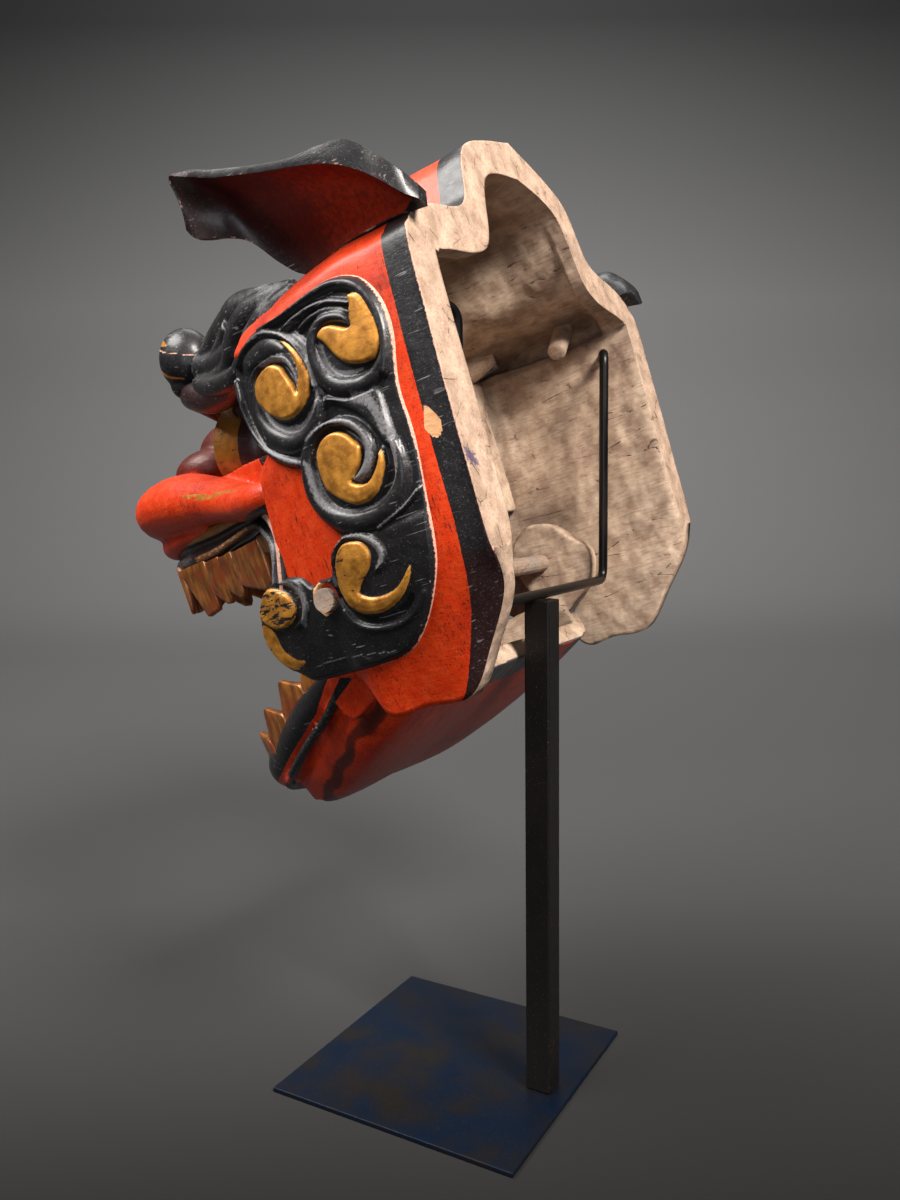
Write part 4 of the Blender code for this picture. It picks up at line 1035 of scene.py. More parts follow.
# %% Forms that grow together
class Forms:
    """Closed forms in millimetres, gathered in one mesh."""

    def __init__(self):
        self.mesh = bmesh.new()

    def rings(self, loops):
        verts = [[self.mesh.verts.new(point) for point in loop] for loop in loops]
        for first, second in zip(verts, verts[1:]):
            for i in range(len(first)):
                j = (i + 1) % len(first)
                self.mesh.faces.new((first[i], first[j], second[j], second[i]))
        self.mesh.faces.new(verts[0][::-1])
        self.mesh.faces.new(verts[-1])

    def roll(self, rows, sides=20, spans=8):
        """A roll along rows of (out, back, up, half width, half height)."""
        curve = catmull(rows, spans)
        path = [Vector(row[:3]) for row in curve]
        loops = []
        for i, centre in enumerate(path):
            ahead = (path[min(i + 1, len(path) - 1)] - path[max(i - 1, 0)]).normalized()
            side = ahead.cross(Vector((0, 0, 1)))
            side = side.normalized() if side.length > 0.2 else Vector((1, 0, 0))
            up = side.cross(ahead).normalized()
            wide, high = curve[i][3], curve[i][4]
            loops.append([centre + side * (wide * cos(a)) + up * (high * sin(a))
                          for a in (2 * pi * k / sides for k in range(sides))])
        self.rings(loops)

    def swelling(self, centre, half_sizes, turn=0.0):
        matrix = (Matrix.Translation(centre) @ Matrix.Rotation(radians(turn), 4, "X")
                  @ Matrix.Diagonal((*half_sizes, 1)))
        bmesh.ops.create_icosphere(self.mesh, subdivisions=4, radius=1, matrix=matrix)

    def mirror(self):
        whole = self.mesh.verts[:] + self.mesh.edges[:] + self.mesh.faces[:]
        copy = bmesh.ops.duplicate(self.mesh, geom=whole)
        for item in copy["geom"]:
            if isinstance(item, bmesh.types.BMVert):
                item.co.x = -item.co.x
        for item in copy["geom"]:
            if isinstance(item, bmesh.types.BMFace):
                item.normal_flip()

    def done(self, name, matrix, material, voxel, softening=2):
        """One skin of all the forms, at the origin."""
        bmesh.ops.recalc_face_normals(self.mesh, faces=self.mesh.faces[:])
        self.mesh.transform(matrix)
        mesh = bpy.data.meshes.new(name)
        self.mesh.to_mesh(mesh)
        self.mesh.free()
        item = bpy.data.objects.new(name, mesh)
        scene.collection.objects.link(item)
        remesh = item.modifiers.new("one_skin", "REMESH")
        remesh.mode = "VOXEL"
        remesh.voxel_size = voxel * MM
        remesh.use_smooth_shade = True
        rub = item.modifiers.new("sandpaper", "SMOOTH")
        rub.iterations = softening
        rub.factor = 0.5
        apply_modifiers(item)
        item.data.name = name
        item.data.materials.clear()
        item.data.materials.append(material)
        return item

print("form gatherer ready")

# %% [markdown]
# ## Paint and wear
#
# Paint attributes are stored on the finished skin. Wear is read from the bend of the mesh, because edges
# are what hands and storage rub first.

# %% Paint and wear


def local_points(item, matrix):
    """A piece's points back in the millimetres of the head's or the jaw's frame."""
    flat = np.empty(len(item.data.vertices) * 3)
    item.data.vertices.foreach_get("co", flat)
    inverse = np.array(matrix.inverted())
    return flat.reshape(-1, 3) @ inverse[:3, :3].T + inverse[:3, 3]


def paint_piece(item, **values):
    """Stores paint attributes on a piece: single numbers or one value a point."""
    count = len(item.data.vertices)
    whole = {"black": -9, "gold": -9, "worn": 0, "bare": -9, "dust": 0, "smear": -0.5, "brown": 0, "flake": 0}
    whole.update(values)
    for key, value in whole.items():
        layer = item.data.attributes.new(key, "FLOAT", "POINT")
        layer.data.foreach_set("value", np.broadcast_to(np.asarray(value, np.float32), count).copy())


def edge_wear(item, reach=1.0):
    """How sharply a piece's surface is ridged at each point: about 1 on an edge and 0 on a flat."""
    mesh = item.data
    count = len(mesh.vertices)
    places = np.empty(count * 3)
    mesh.vertices.foreach_get("co", places)
    places = places.reshape(-1, 3) * 1000
    normals = np.empty(count * 3)
    mesh.vertices.foreach_get("normal", normals)
    normals = normals.reshape(-1, 3)
    pairs = np.empty(len(mesh.edges) * 2, int)
    mesh.edges.foreach_get("vertices", pairs)
    a, b = pairs.reshape(-1, 2).T
    away = places[b] - places[a]
    bend = ((normals[b] - normals[a]) * away).sum(1) / np.maximum((away ** 2).sum(1), 1e-6)
    total = np.zeros(count)
    uses = np.zeros(count)
    for end in (a, b):
        np.add.at(total, end, bend)
        np.add.at(uses, end, 1)
    mean = total / np.maximum(uses, 1)
    for _ in range(2):
        spread = np.zeros(count)
        np.add.at(spread, a, mean[b])
        np.add.at(spread, b, mean[a])
        mean = 0.5 * mean + 0.5 * spread / np.maximum(uses, 1)
    return smooth((mean * reach - 0.05) / 0.25)


def at_head(out, along, up):
    """Shares of half width, head length and crown height, as millimetres in the head's frame."""
    return (out * HALF_WIDTH, REAR_REACH - along * HEAD_LENGTH, up * CROWN_HEIGHT)


print("paint and wear ready")

# %% [markdown]
# ## The face
#
# The block of the face narrows quickly in front of the cheeks, which leaves a deep dark hollow round each
# eye. The eye is a drum that looks forward under a dark red lid. The upper lip bulges out over the teeth in
# two rolls, the nose is a bulb, and three black folds of brow sweep forward from the ear to a knob.

# %% The face
FACE_ROWS = (  # along, then width and height shares as in the shell
    (0.375, 0.80, 0.19, 0.80, 0.25, 0.77, 0.50, 0.78, 0.62, 0.64, 0.70, 0.45, 0.75, 0.29, 0.85, 0.90),
    (0.422, 0.80, 0.19, 0.80, 0.25, 0.76, 0.50, 0.78, 0.62, 0.64, 0.70, 0.45, 0.75, 0.29, 0.85, 0.90),
    (0.455, 0.76, 0.22, 0.72, 0.30, 0.66, 0.50, 0.71, 0.61, 0.61, 0.68, 0.42, 0.73, 0.26, 0.83, 0.87),
    (0.510, 0.62, 0.23, 0.62, 0.31, 0.57, 0.48, 0.60, 0.59, 0.55, 0.66, 0.40, 0.71, 0.24, 0.80, 0.84),
    (0.585, 0.52, 0.24, 0.50, 0.33, 0.42, 0.46, 0.50, 0.57, 0.47, 0.64, 0.37, 0.69, 0.22, 0.77, 0.80),
    (0.650, 0.44, 0.25, 0.43, 0.35, 0.33, 0.45, 0.42, 0.55, 0.40, 0.61, 0.33, 0.65, 0.20, 0.72, 0.75),
    (0.690, 0.38, 0.26, 0.38, 0.36, 0.28, 0.45, 0.36, 0.53, 0.33, 0.57, 0.27, 0.60, 0.16, 0.64, 0.66),
)
# The roof of the mouth: along, half width, underside and top, as shares
PALATE = ((0.43, 0.70, 0.225, 0.40), (0.58, 0.58, 0.225, 0.42), (0.72, 0.46, 0.225, 0.43),
          (0.86, 0.37, 0.235, 0.42), (0.93, 0.26, 0.255, 0.40))
UPPER_ROLL = (  # out, back, up, half width and half height in millimetres
    (134, -18, 60, 5, 7), (131, -32, 62, 9, 8.5), (125, -44, 63.5, 11, 9), (114, -58, 66, 13, 10),
    (100, -78, 72, 14, 11.5), (88, -100, 79, 16, 13.5), (80, -118, 84, 19, 16), (69, -143, 90, 24, 19),
    (55, -168, 93, 27, 20), (34, -183, 94, 26, 20), (12, -186, 93, 23, 18), (0, -186, 92, 22, 17),
)
LOWER_ROLL = (
    (84, -118, 68, 3, 3), (76, -138, 69, 4.5, 4.5), (69, -155, 70, 6.5, 6), (60, -171, 71, 8, 7.5),
    (46, -185, 71, 9, 8), (24, -191, 71, 9, 8), (0, -192, 71, 9, 8),
)
LID = (  # the roll over the eye, with the same five values
    (112, -40, 132, 7, 8), (104, -54, 135, 8, 8), (96, -70, 135, 9, 9), (89, -88, 138, 9, 9),
    (82, -103, 145, 9, 9), (72, -114, 150, 9, 9), (56, -119, 148, 8, 8), (36, -117, 138, 7, 7),
    (24, -112, 128, 6, 6),
)
SWELLINGS = (  # nose, nostrils, bridge: centre and half sizes
    ((0, -143, 128), (33, 33, 22)), ((0, -170, 122), (24, 19, 16)), ((27, -158, 116), (21, 24, 15)),
    ((0, -120, 148), (22, 20, 16)),
)
LIP_SMEAR = ((-124, 90, 0.4), (-114, 86, 1.5), (-101, 82, 1.9), (-88, 79, 1.5), (-74, 77, 1.0),
             (-58, 73, 0.4))


def face_block():
    forms = Forms()
    forms.roll(UPPER_ROLL)
    forms.roll(LOWER_ROLL)
    forms.roll(LID)
    forms.swelling(*SWELLINGS[2])
    forms.mirror()
    loops = []
    for row in catmull(FACE_ROWS, 6):
        half = np.array([(row[1 + 2 * i] * HALF_WIDTH, row[2 + 2 * i] * CROWN_HEIGHT) for i in range(7)]
                        + [(0.0, row[15] * CROWN_HEIGHT)])
        loops.append([Vector(p) for p in whole_profile(half, REAR_REACH - row[0] * HEAD_LENGTH)])
    forms.rings(loops)
    for index in (0, 1, 3):
        forms.swelling(*SWELLINGS[index])
    forms.rings([[Vector(at_head(s * width, along, h)) for s, h in ((1, low), (1, top), (-1, top), (-1, low))]
                 for along, width, low, top in PALATE])
    item = forms.done("face", HEAD, lacquer, 1.5, 3)
    x, y, z = local_points(item, HEAD).T
    x = np.abs(x)
    floor = 80 + 24 * smooth((-52 - y) / 16)
    hollow = np.min([z - floor, 137 - z, (-19 - y) * 0.5, y + 118, x - 40], axis=0)
    brow_side = np.min([z - 128 + 0.25 * (y + 30), x - 78 - 0.12 * (y + 60), -y - 10], axis=0)
    below = np.minimum(57 - z, y + 176)
    lid = np.min([z - 119, -y - 34, 126 - x, np.maximum(x - 50, z - 146)], axis=0)
    # Painted shade: above the upper lip and in front of the cheeks the red is darkened, on nose, lid and
    # bridge
    shaded = smooth((z - 97 - 16 * smooth((x - 38) / 12)) / 6) * smooth((-34 - y) / 10)
    wear = edge_wear(item)
    smeared, width = path_distance(np.column_stack([y, z]), catmull(LIP_SMEAR, 6))
    gilt = np.where(x > 55, width - smeared, -9)
    black = np.max([hollow * 0.7, brow_side, below, lid], axis=0)
    brown = np.where((hollow > 0) | (lid > 0), 1.2, 0.3)
    paint_piece(item, black=black, worn=0.30 * wear, gold=gilt, flake=0.50, brown=brown, dust=0.2 * wear,
                smear=1.9 * shaded - 0.4)
    middle, _ = face_frames(item, HEAD)
    leave_bare(item, (middle[:, 1] > -18) | (middle[:, 1] > -34) & (np.abs(middle[:, 0]) < 112))
    return item

face = face_block()
print("face:", triangle_count(face), "triangles")

# %% [markdown]
# ## The moulding round the mouth
#
# A gilded bead and a grey ridge run side by side round the mouth, with a black channel between them. One
# section is swept along both lines.

# %% The moulding round the mouth
BAND_OUTER = (  # the gilded bead round the mouth: out, back, up
    (138, -33, 4), (139, -30.5, 12), (139.2, -28.8, 20), (137.8, -27.4, 31), (134, -29.5, 42),
    (127, -38, 52.5), (116.5, -52, 59), (100, -79, 63.5), (86, -112, 65), (75, -142, 67), (64, -168, 69),
    (48, -186, 70), (24, -195, 70.5), (0, -198, 70.5),
)
BAND_INNER = (  # the grey ridge inside it, point for point
    (134.5, -42, 3), (135.5, -39.5, 10), (135.6, -37.6, 18), (133.6, -36, 28), (129.5, -38.5, 37.5),
    (121.5, -48, 46.5), (110, -63, 54), (93, -92, 54.5), (79, -123, 53.5), (69, -152, 54), (59, -173, 56),
    (43, -188, 57.5), (21, -195, 58), (0, -196.5, 58),
)
BAND_SECTION = (  # share of the way from bead to ridge, and how proud it stands in millimetres
    (-0.34, -6.0), (-0.32, -0.8), (-0.24, 1.1), (-0.10, 2.2), (0.04, 2.5), (0.18, 1.9), (0.27, 0.4),
    (0.34, -1.2), (0.46, -1.7), (0.58, -1.3), (0.68, -0.4), (0.76, 1.2), (0.88, 2.0), (1.02, 1.9),
    (1.14, 0.8), (1.24, -1.5), (1.28, -7.0),
)


def mouth_band():
    """The moulding round the mouth: a gilded bead, a black channel and a grey ridge, between two lines."""
    bead = catmull(BAND_OUTER, 9)
    ridge = catmull(BAND_INNER, 9)
    section = catmull(BAND_SECTION, 2)
    ahead = np.gradient(bead, axis=0)
    proud = np.cross(ridge - bead, ahead)
    proud /= np.linalg.norm(proud, axis=1)[:, None]
    proud *= np.sign(proud[:, :1] * 2 - proud[:, 1:2] + 1e-6)
    n, m = len(bead), len(section)
    share = np.tile(section[:, 0], n)[:, None]
    rise = np.tile(section[:, 1], n)[:, None]
    points = np.repeat(bead, m, axis=0) * (1 - share) + np.repeat(ridge, m, axis=0) * share
    points += np.repeat(proud, m, axis=0) * (rise + 0.12 * value_noise(points, 4, 41)[:, None])
    faces = grid_faces(n, m)
    faces += [(i * m + m - 1, i * m, (i + 1) * m, (i + 1) * m + m - 1) for i in range(n - 1)]
    faces += [tuple(range(m)), tuple(range((n - 1) * m, n * m))[::-1]]
    share = share.ravel()
    back = points[:, 1]
    upright = smooth((back + 58) / 12)
    front = smooth((-140 - back) / 20)
    on_bead = 1 - smooth((np.abs(share - 0.01) - 0.16) / 0.08)
    on_ridge = 1 - smooth((np.abs(share - 0.95) - 0.14) / 0.08)
    gold = np.where(on_bead > 0.5, 1.0, -1.0) * (1 - 0.7 * upright) - 1.2 * upright - 1.4 * front
    gilt_ridge = on_ridge * smooth((-66 - back) / 8) * (1 - front)
    pale = 0.95 * on_bead * upright + 0.28 * on_bead * (1 - upright) * (share > 0.02) + 0.5 * gilt_ridge
    item = build_piece("mouth_band_left", points, faces, HEAD, (lacquer,), {
        "black": np.full(len(points), 4.0), "gold": np.maximum(gold, 1.2 * gilt_ridge - 0.9), "worn": pale,
        "bare": np.full(len(points), -9.0), "dust": 0.7 * on_ridge * upright + 0.15 + 0.5 * front,
        "smear": 0 * back - 0.5, "brown": smooth((-60 - back) / 40) * 0.9,
        "flake": np.full(len(points), 0.33)})
    outward(item)
    return item

left_band = mouth_band()
right_band = mirrored(left_band, "mouth_band_right")
print("band:", triangle_count(left_band), "triangles")

# %% [markdown]
# ## Brows
#
# The brow is hair carved as twisted folds that end in a knob. Each fold is a roll along its crest.

# %% Brows
BROW_FOLDS = (  # each fold's crest: out, back, up and radius
    ((116, 2, 166, 4), (110, -16, 171, 8), (106, -31, 175, 10), (102, -45, 178, 11), (98, -56, 176, 11),
     (93, -71, 172, 10), (89, -85, 166, 9), (86, -96, 162, 8)),
    ((106, -50, 168, 5), (100, -62, 163, 6), (95, -76, 157, 6), (91, -88, 153, 5)),
    ((122, 10, 163, 4), (119, -7, 166, 7), (116, -24, 167, 9), (113, -36, 165, 9), (111, -45, 159, 8),
     (110, -50, 152, 7), (106, -58, 147, 6), (101, -71, 146, 6), (95, -87, 150, 6)),
    ((127, 13, 159, 4), (126, 2, 158, 7), (124, -11, 156, 8.5), (122, -22, 152, 8), (121, -30, 146, 7),
     (119, -38, 140, 6), (116, -47, 137, 5.5), (109, -63, 139, 5.5), (101, -81, 144, 5.5), (94, -92, 151, 5)),
    ((131, -12, 147, 3.5), (129, -20, 144, 4.5), (127, -26, 139, 4.5), (126, -31, 131, 4),
    (126, -35, 124, 3.5)),
)
CREST_LEAN = (0.82, 0.0, 0.57)  # from a fold's middle to its crest
BROW_FILL = (
    (112, 4, 152, 9, 9), (104, -20, 150, 13, 13), (98, -40, 151, 13, 13), (93, -58, 151, 12, 12),
    (88, -76, 153, 10, 10), (84, -92, 158, 9, 9),
)
KNOB_LINES = (  # pale and gilded lines drawn over the knob: back, up and half width
    ((-127, 182, 0.5), (-118, 179, 0.6), (-108, 173, 0.5), (-95, 168, 0.4)),
    ((-126, 178, 0.5), (-122, 168, 0.8), (-115, 161, 0.7), (-106, 157, 0.4)),
    ((-127, 186, 1.6), (-121, 186, 2.6), (-113, 181, 1.6), (-109, 178, 0.4)),
)
KNOB = (77, -109, 171)


def brow():
    """Twisted folds of hair over the eye, and the knob they end in."""
    forms = Forms()
    lean = np.array(CREST_LEAN)
    for fold in BROW_FOLDS:
        rows = [(*(np.array(row[:3]) - lean * row[3] * 0.9), row[3], row[3] * 1.08) for row in fold]
        forms.roll(rows, 24, 10)
    forms.roll(BROW_FILL, 24, 10)
    forms.swelling(KNOB, (15.5, 17.0, 19.0), -14)
    forms.swelling((80, -114, 157), (7, 8, 9))
    item = forms.done("brow_left", HEAD, lacquer, 1.1, 2)
    points = local_points(item, HEAD)
    x, y, z = points.T
    flat = points[:, 1:]
    lines = [path_distance(flat, catmull(path, 6)) for path in KNOB_LINES]
    gold = np.max([width - gap for gap, width in lines[1:]], axis=0)
    pale = lines[0][1] + 0.3 - lines[0][0]
    wear = edge_wear(item, 0.8)
    # Painted highlights: where a fold is lit, mostly at the rear, the black is greyed and partly rubbed to
    # ground
    lit = smooth((value_noise(points, 9, 51) + 0.45) / 0.8)
    rear = smooth((y + 50) / 40)
    red_root = smooth((y + 22) / 12) * smooth((z - 142 - 0.35 * (y + 20)) / 4) * smooth((156 - z) / 6)
    paint_piece(item, black=np.where(red_root > 0.55, -0.6, 5), gold=np.where(x > 70, gold, -9), flake=0.30,
                dust=0.75 * wear * lit + 0.10 + 0.65 * lit * rear, worn=0.75 * smooth(pale / 0.4) * (x > 70)
                + 0.30 * wear * lit * rear, brown=0.3 * (1 - lit))
    middle, _ = face_frames(item, HEAD)
    leave_bare(item, (middle[:, 1] > -34) & (middle[:, 0] < 106) & (middle[:, 2] < 156))
    return item

left_brow = brow()
right_brow = mirrored(left_brow, "brow_right")
print("brow:", triangle_count(left_brow), "triangles")

# %% [markdown]
# ## Eyes
#
# The eye is turned like a bowl: a row of radii along a tilted axis. Its front is gilded round a black
# pupil.

# %% Eyes
EYE = (50, -96, 113)
EYE_RADIUS = 27.0
EYE_TILT = 16.0
EYE_PROFILE = (  # along the drum's axis, and the share of its radius there
    (26, 1.0), (12, 1.0), (9, 1.0), (6, 1.0), (-9, 1.0), (-10.4, 0.985), (-11.2, 0.95), (-12.2, 0.9),
    (-14.5, 0.8), (-17.4, 0.65), (-19.6, 0.5), (-21, 0.36), (-21.8, 0.2), (-22, 0.05),
)


def eye_drum():
    """A drum that looks forward: gilded sides, a domed front with a black pupil and a dark ring."""
    loops = []
    turn = Matrix.Rotation(radians(-EYE_TILT), 3, "X")
    sides = 64
    for forward, reach in EYE_PROFILE:
        wide = EYE_RADIUS * reach
        loops.append([Vector(EYE) + turn @ Vector((wide * cos(a), forward, wide * sin(a)))
                      for a in (2 * pi * k / sides for k in range(sides))])
    points = np.array([tuple(p) for loop in loops for p in loop])
    n = len(loops)
    faces = grid_faces(n, sides, closed=True)
    faces += [tuple(range(sides))[::-1], tuple(range((n - 1) * sides, n * sides))]
    reach = np.repeat([p[1] for p in EYE_PROFILE], sides) * EYE_RADIUS
    front = np.repeat([p[0] < -9.5 for p in EYE_PROFILE], sides)
    away = np.repeat([p[0] for p in EYE_PROFILE], sides)
    pupil = np.where(front, 9.8 - reach, -9.0)
    ring = np.where(front, 1.6 - np.abs(reach - 24.8), -9.0)
    black = np.maximum(pupil, ring)
    # Painted shade: brown darkens the gilding of the whole drum
    item = build_piece("eye_left", points, faces, HEAD, (lacquer,), {
        "black": np.where(front, black, 5.0), "gold": np.where(front, -black, 9 - away), "worn": 0 * reach,
        "bare": 0 * reach - 9, "dust": 0 * reach, "smear": 0 * reach + 0.6, "brown": 0 * reach + 1,
        "flake": np.where(front, 0.2, 0.40)})
    outward(item)
    return item


left_eye = eye_drum()
right_eye = mirrored(left_eye, "eye_right")
print("eye:", triangle_count(left_eye), "triangles")

# %% [markdown]
# ## Ears
#
# Each ear is a cupped leaf on the shoulder. Its sections give where the lower and the upper edge lie out
# and up from the rear corner. The hollow side is red and turned down and out, the rims and the back are
# black.

# %% Ears
EAR_STATIONS = (  # back, lower edge out and up, upper edge out and up, hollow's depth, thickness
    (106, 143, 154, 149, 156, 0.0, 8), (101, 142.5, 155, 154, 160, 1.5, 12),
    (95, 142, 156, 158, 167, 3, 13), (86, 141, 157.5, 163, 175.5, 6, 13.5),
    (74, 139.5, 158.5, 166.5, 182.7, 8.5, 8.5), (58, 137, 159, 168, 188.3, 11, 4.2),
    (40, 132.5, 159, 168.5, 194.2, 13, 3.6), (24, 128.5, 160, 168, 200.4, 13.5, 3.8),
    (12, 129, 170.6, 167, 205.3, 11, 4), (2, 135, 184.7, 165.5, 210.8, 8, 3.8),
    (-6, 143, 188.7, 163.5, 215.4, 5, 3.4), (-13, 149, 190, 161, 219.7, 3.5, 3.2),
    (-18, 152.5, 192, 159.5, 222.5, 2.5, 3), (-20, 155, 196.5, 158.5, 220, 2, 2.8),
)
ACROSS = 61  # points from the lower to the upper edge


def ear_leaf():
    """The cupped leaf: a face grid and a back grid, joined round the rim with a soft edge."""
    rows, back_rows = [], []
    shares = np.linspace(0, 1, ACROSS)
    for y, low_x, low_z, high_x, high_z, cup, wall in catmull(EAR_STATIONS, 8):
        low, high = np.array((low_x, low_z)), np.array((high_x, high_z))
        chord = high - low
        across = np.array((chord[1], -chord[0])) / np.linalg.norm(chord)
        line = low + chord * shares[:, None] - across * (cup * 4 * shares * (1 - shares))[:, None]
        tangent = np.gradient(line, axis=0)
        tangent /= np.linalg.norm(tangent, axis=1)[:, None]
        behind = line + np.column_stack([-tangent[:, 1], tangent[:, 0]]) * wall
        rows.append(np.column_stack([line[:, 0], np.full(ACROSS, y), line[:, 1]]))
        back_rows.append(np.column_stack([behind[:, 0], np.full(ACROSS, y), behind[:, 1]]))
    face, behind = np.array(rows), np.array(back_rows)
    n, m = len(rows), ACROSS
    points = np.vstack([face.reshape(-1, 3), behind.reshape(-1, 3)])
    faces = grid_faces(n, m) + grid_faces(n, m, n * m, True)
    for i in range(n - 1):
        for j, flip in ((0, False), (m - 1, True)):
            a, b = i * m + j, (i + 1) * m + j
            quad = (a, b, b + n * m, a + n * m)
            faces.append(quad if flip else quad[::-1])
    for j in range(m - 1):
        for i, flip in ((0, True), (n - 1, False)):
            a, b = i * m + j, i * m + j + 1
            quad = (a, b, b + n * m, a + n * m)
            faces.append(quad if flip else quad[::-1])
    item = build_piece("ear_left", points, faces, HEAD, (lacquer,))
    outward(item)
    soft = item.modifiers.new("rounded_rim", "BEVEL")
    soft.width = 1.3 * MM
    soft.segments = 3
    soft.limit_method = "ANGLE"
    soft.angle_limit = radians(50)
    apply_modifiers(item)
    return item, face

left_ear, ear_face = ear_leaf()
print("ear:", triangle_count(left_ear), "triangles")

# %% [markdown]
# ## Paint on the ear
#
# The hollow side is red, with painted shade over it that grows darker and browner towards the tip, where it
# turns black. The rim and the back are black, with a silvery painted reflection near the top edge.

# %% Paint on the ear


def paint_ear(item, face):
    """Distance to the rim on the hollow side: red inside it, black on the rim and the back."""
    points = local_points(item, HEAD)
    n, m = face.shape[:2]
    tree = BVHTree.FromPolygons([tuple(p) for p in face.reshape(-1, 3)], grid_faces(n, m))
    gap = np.array([tree.find_nearest(Vector(p))[3] for p in points])
    border = np.vstack([face[:, 0], face[-1], face[::-1, -1], face[0, ::-1]])
    rim = np.empty(len(points))
    for start in range(0, len(points), 5000):
        part = points[start:start + 5000]
        rim[start:start + 5000] = np.sqrt(((part[:, None] - border[None]) ** 2).sum(2)).min(1)
    y = points[:, 1]
    near_top = np.empty(len(points))
    for start in range(0, len(points), 5000):
        part = points[start:start + 5000]
        near_top[start:start + 5000] = np.sqrt(((part[:, None] - face[None, :, -1]) ** 2).sum(2)).min(1)
    width = np.where(near_top < rim + 1.0, 0.5, 0.9)
    width = np.maximum(width, 5.0 * smooth((y - 90) / 12))
    black = np.where(gap < 0.6, width - rim, 5.0)
    # Painted shade: the hollow darkens all over, most towards the tip, where it is painted black
    left = smooth((34 - y - 0.6 * (points[:, 2] - 185)) / 34)
    inner_edge = smooth(1.0 - np.abs(rim - 0.6) / 1.2) * (gap < 0.9)
    chips = smooth((value_noise(points, 5, 31) - 0.05) / 0.5)
    # A painted reflection: a silvery grey band on the black back, near the top edge
    painted_reflection = (gap > 1.0) * (near_top < 16) * smooth((30 - y) / 40)
    black = np.where((left > 0.8) & (gap < 0.6), 3.0 * (left - 0.8) / 0.2, black)
    worn = 0.70 * inner_edge * (0.45 + 0.55 * chips)
    dust = 0.14 + painted_reflection * (0.5 + 0.5 * chips)
    paint_piece(item, black=black, worn=worn, dust=dust, smear=0.78 + 0.7 * smooth((70 - y) / 70) + left,
                brown=left)

paint_ear(left_ear, ear_face)
right_ear = mirrored(left_ear, "ear_right")
print("ears painted")

# %% [markdown]
# ## Ear tenons
#
# A round tenon of bare wood holds each ear in the wall, and its end stands out in the hollow.

# %% Ear tenons
PEG_SEAT = (133.0, 56.5, 163.0)
PEG_SLOPE = 38.0
PEG_LENGTH = 50.0
PEG_RADIUS = 6.5


def ear_peg():
    seat = Vector(PEG_SEAT)
    slope = Vector((-cos(radians(PEG_SLOPE)), 0, -sin(radians(PEG_SLOPE))))
    side = Vector((0, 1, 0))
    up = slope.cross(side)
    loops = []
    for reach, share in ((0, 1.0), (0.5, 1.0), (0.97, 0.96), (1.0, 0.86), (1.002, 0.4)):
        centre = seat + slope * PEG_LENGTH * reach
        loops.append([centre + (side * cos(a) + up * sin(a)) * PEG_RADIUS * share
                      for a in (2 * pi * k / 28 for k in range(28))])
    points = np.array([tuple(p) for loop in loops for p in loop])
    faces = grid_faces(5, 28, closed=True)
    faces += [tuple(range(28))[::-1], tuple(range(112, 140))]
    item = build_piece("ear_peg_left", points, faces, HEAD, (bare_wood,))
    outward(item)
    return item


left_peg = ear_peg()
right_peg = mirrored(left_peg, "ear_peg_right")
print("tenon:", triangle_count(left_peg), "triangles")

# %% [markdown]
# ## The jaw
#
# The jaw is a shallow tray with a rolled lip. Two arms reach back over the axle. It is drawn closed, and
# one matrix opens it.

# %% The jaw
JAW_WIDTH = 234.0
JAW_LENGTH = 176.0
JAW_DEPTH = 58.0
JAW_WALL = 12.0
JAW_LIP = 12.0
JAW_SECTIONS = (  # along, half width, then the heights of the edge, the side and the bottom, as shares
    (0.060, 0.975, -0.42, -0.84, -1.00), (0.150, 0.965, -0.38, -0.86, -1.00),
    (0.300, 0.925, -0.30, -0.86, -1.00), (0.450, 0.855, -0.23, -0.82, -0.98),
    (0.570, 0.770, -0.19, -0.76, -0.95), (0.720, 0.660, -0.17, -0.69, -0.88),
    (0.840, 0.550, -0.15, -0.60, -0.76),
)
# Sections of the chin: along, half width, underside and top, as shares
CHIN = ((0.80, 0.57, -0.77, -0.22), (0.89, 0.47, -0.63, -0.17), (0.955, 0.34, -0.48, -0.15))
PLATE_OUTLINE = (  # the arm seen from the side, back and up, as shares of the jaw's depth
    (0.02, 0.46), (0.24, 0.42), (0.42, 0.22), (0.48, -0.03), (0.54, -0.32), (0.31, -0.57), (-0.05, -0.64),
    (-0.90, -0.72), (-0.90, -0.33), (-0.46, -0.30), (-0.34, 0.10), (-0.22, 0.36),
)
JAW_LIP_PATH = (  # out, along and up as shares, then the roll's half width and half height
    (0.95, 0.15, -0.40, 0.5, 0.5), (0.91, 0.30, -0.29, 0.7, 0.7), (0.84, 0.45, -0.22, 0.8, 0.85),
    (0.76, 0.57, -0.19, 0.9, 0.9), (0.655, 0.72, -0.18, 0.95, 1.0), (0.52, 0.86, -0.17, 1.0, 1.05),
    (0.32, 0.94, -0.155, 1.0, 1.05), (0.12, 0.965, -0.15, 1.0, 1.05), (0.00, 0.97, -0.15, 1.0, 1.05),
)

JAW_BEAD = (  # the thin black bead under the lip: out, back, up and radius
    (116, -20, -21, 2.2), (116, -42, -23, 2.4), (114, -56, -25, 2.6), (110, -71, -26, 2.8),
    (102, -96, -25, 2.8), (89, -126, -24, 2.8), (73, -150, -22, 2.6), (48, -165, -20, 2.6),
    (24, -171, -19, 2.6), (0, -173, -19, 2.6),
)


def at_jaw(out, along, up):
    return (out * JAW_WIDTH / 2, -along * JAW_LENGTH, up * JAW_DEPTH)


def jaw_lines(row):
    w, top, side, low = row[1] * JAW_WIDTH / 2, row[2] * JAW_DEPTH, row[3] * JAW_DEPTH, row[4] * JAW_DEPTH
    outer = np.array([(w, top), (w, side), (w * 0.80, low * 1.02), (0, low)])
    inner = np.array([(w - JAW_WALL, top), (w - JAW_WALL, side + JAW_WALL * 0.4),
                      (w * 0.74, low + JAW_WALL), (0, low + JAW_WALL)])
    return outer, inner


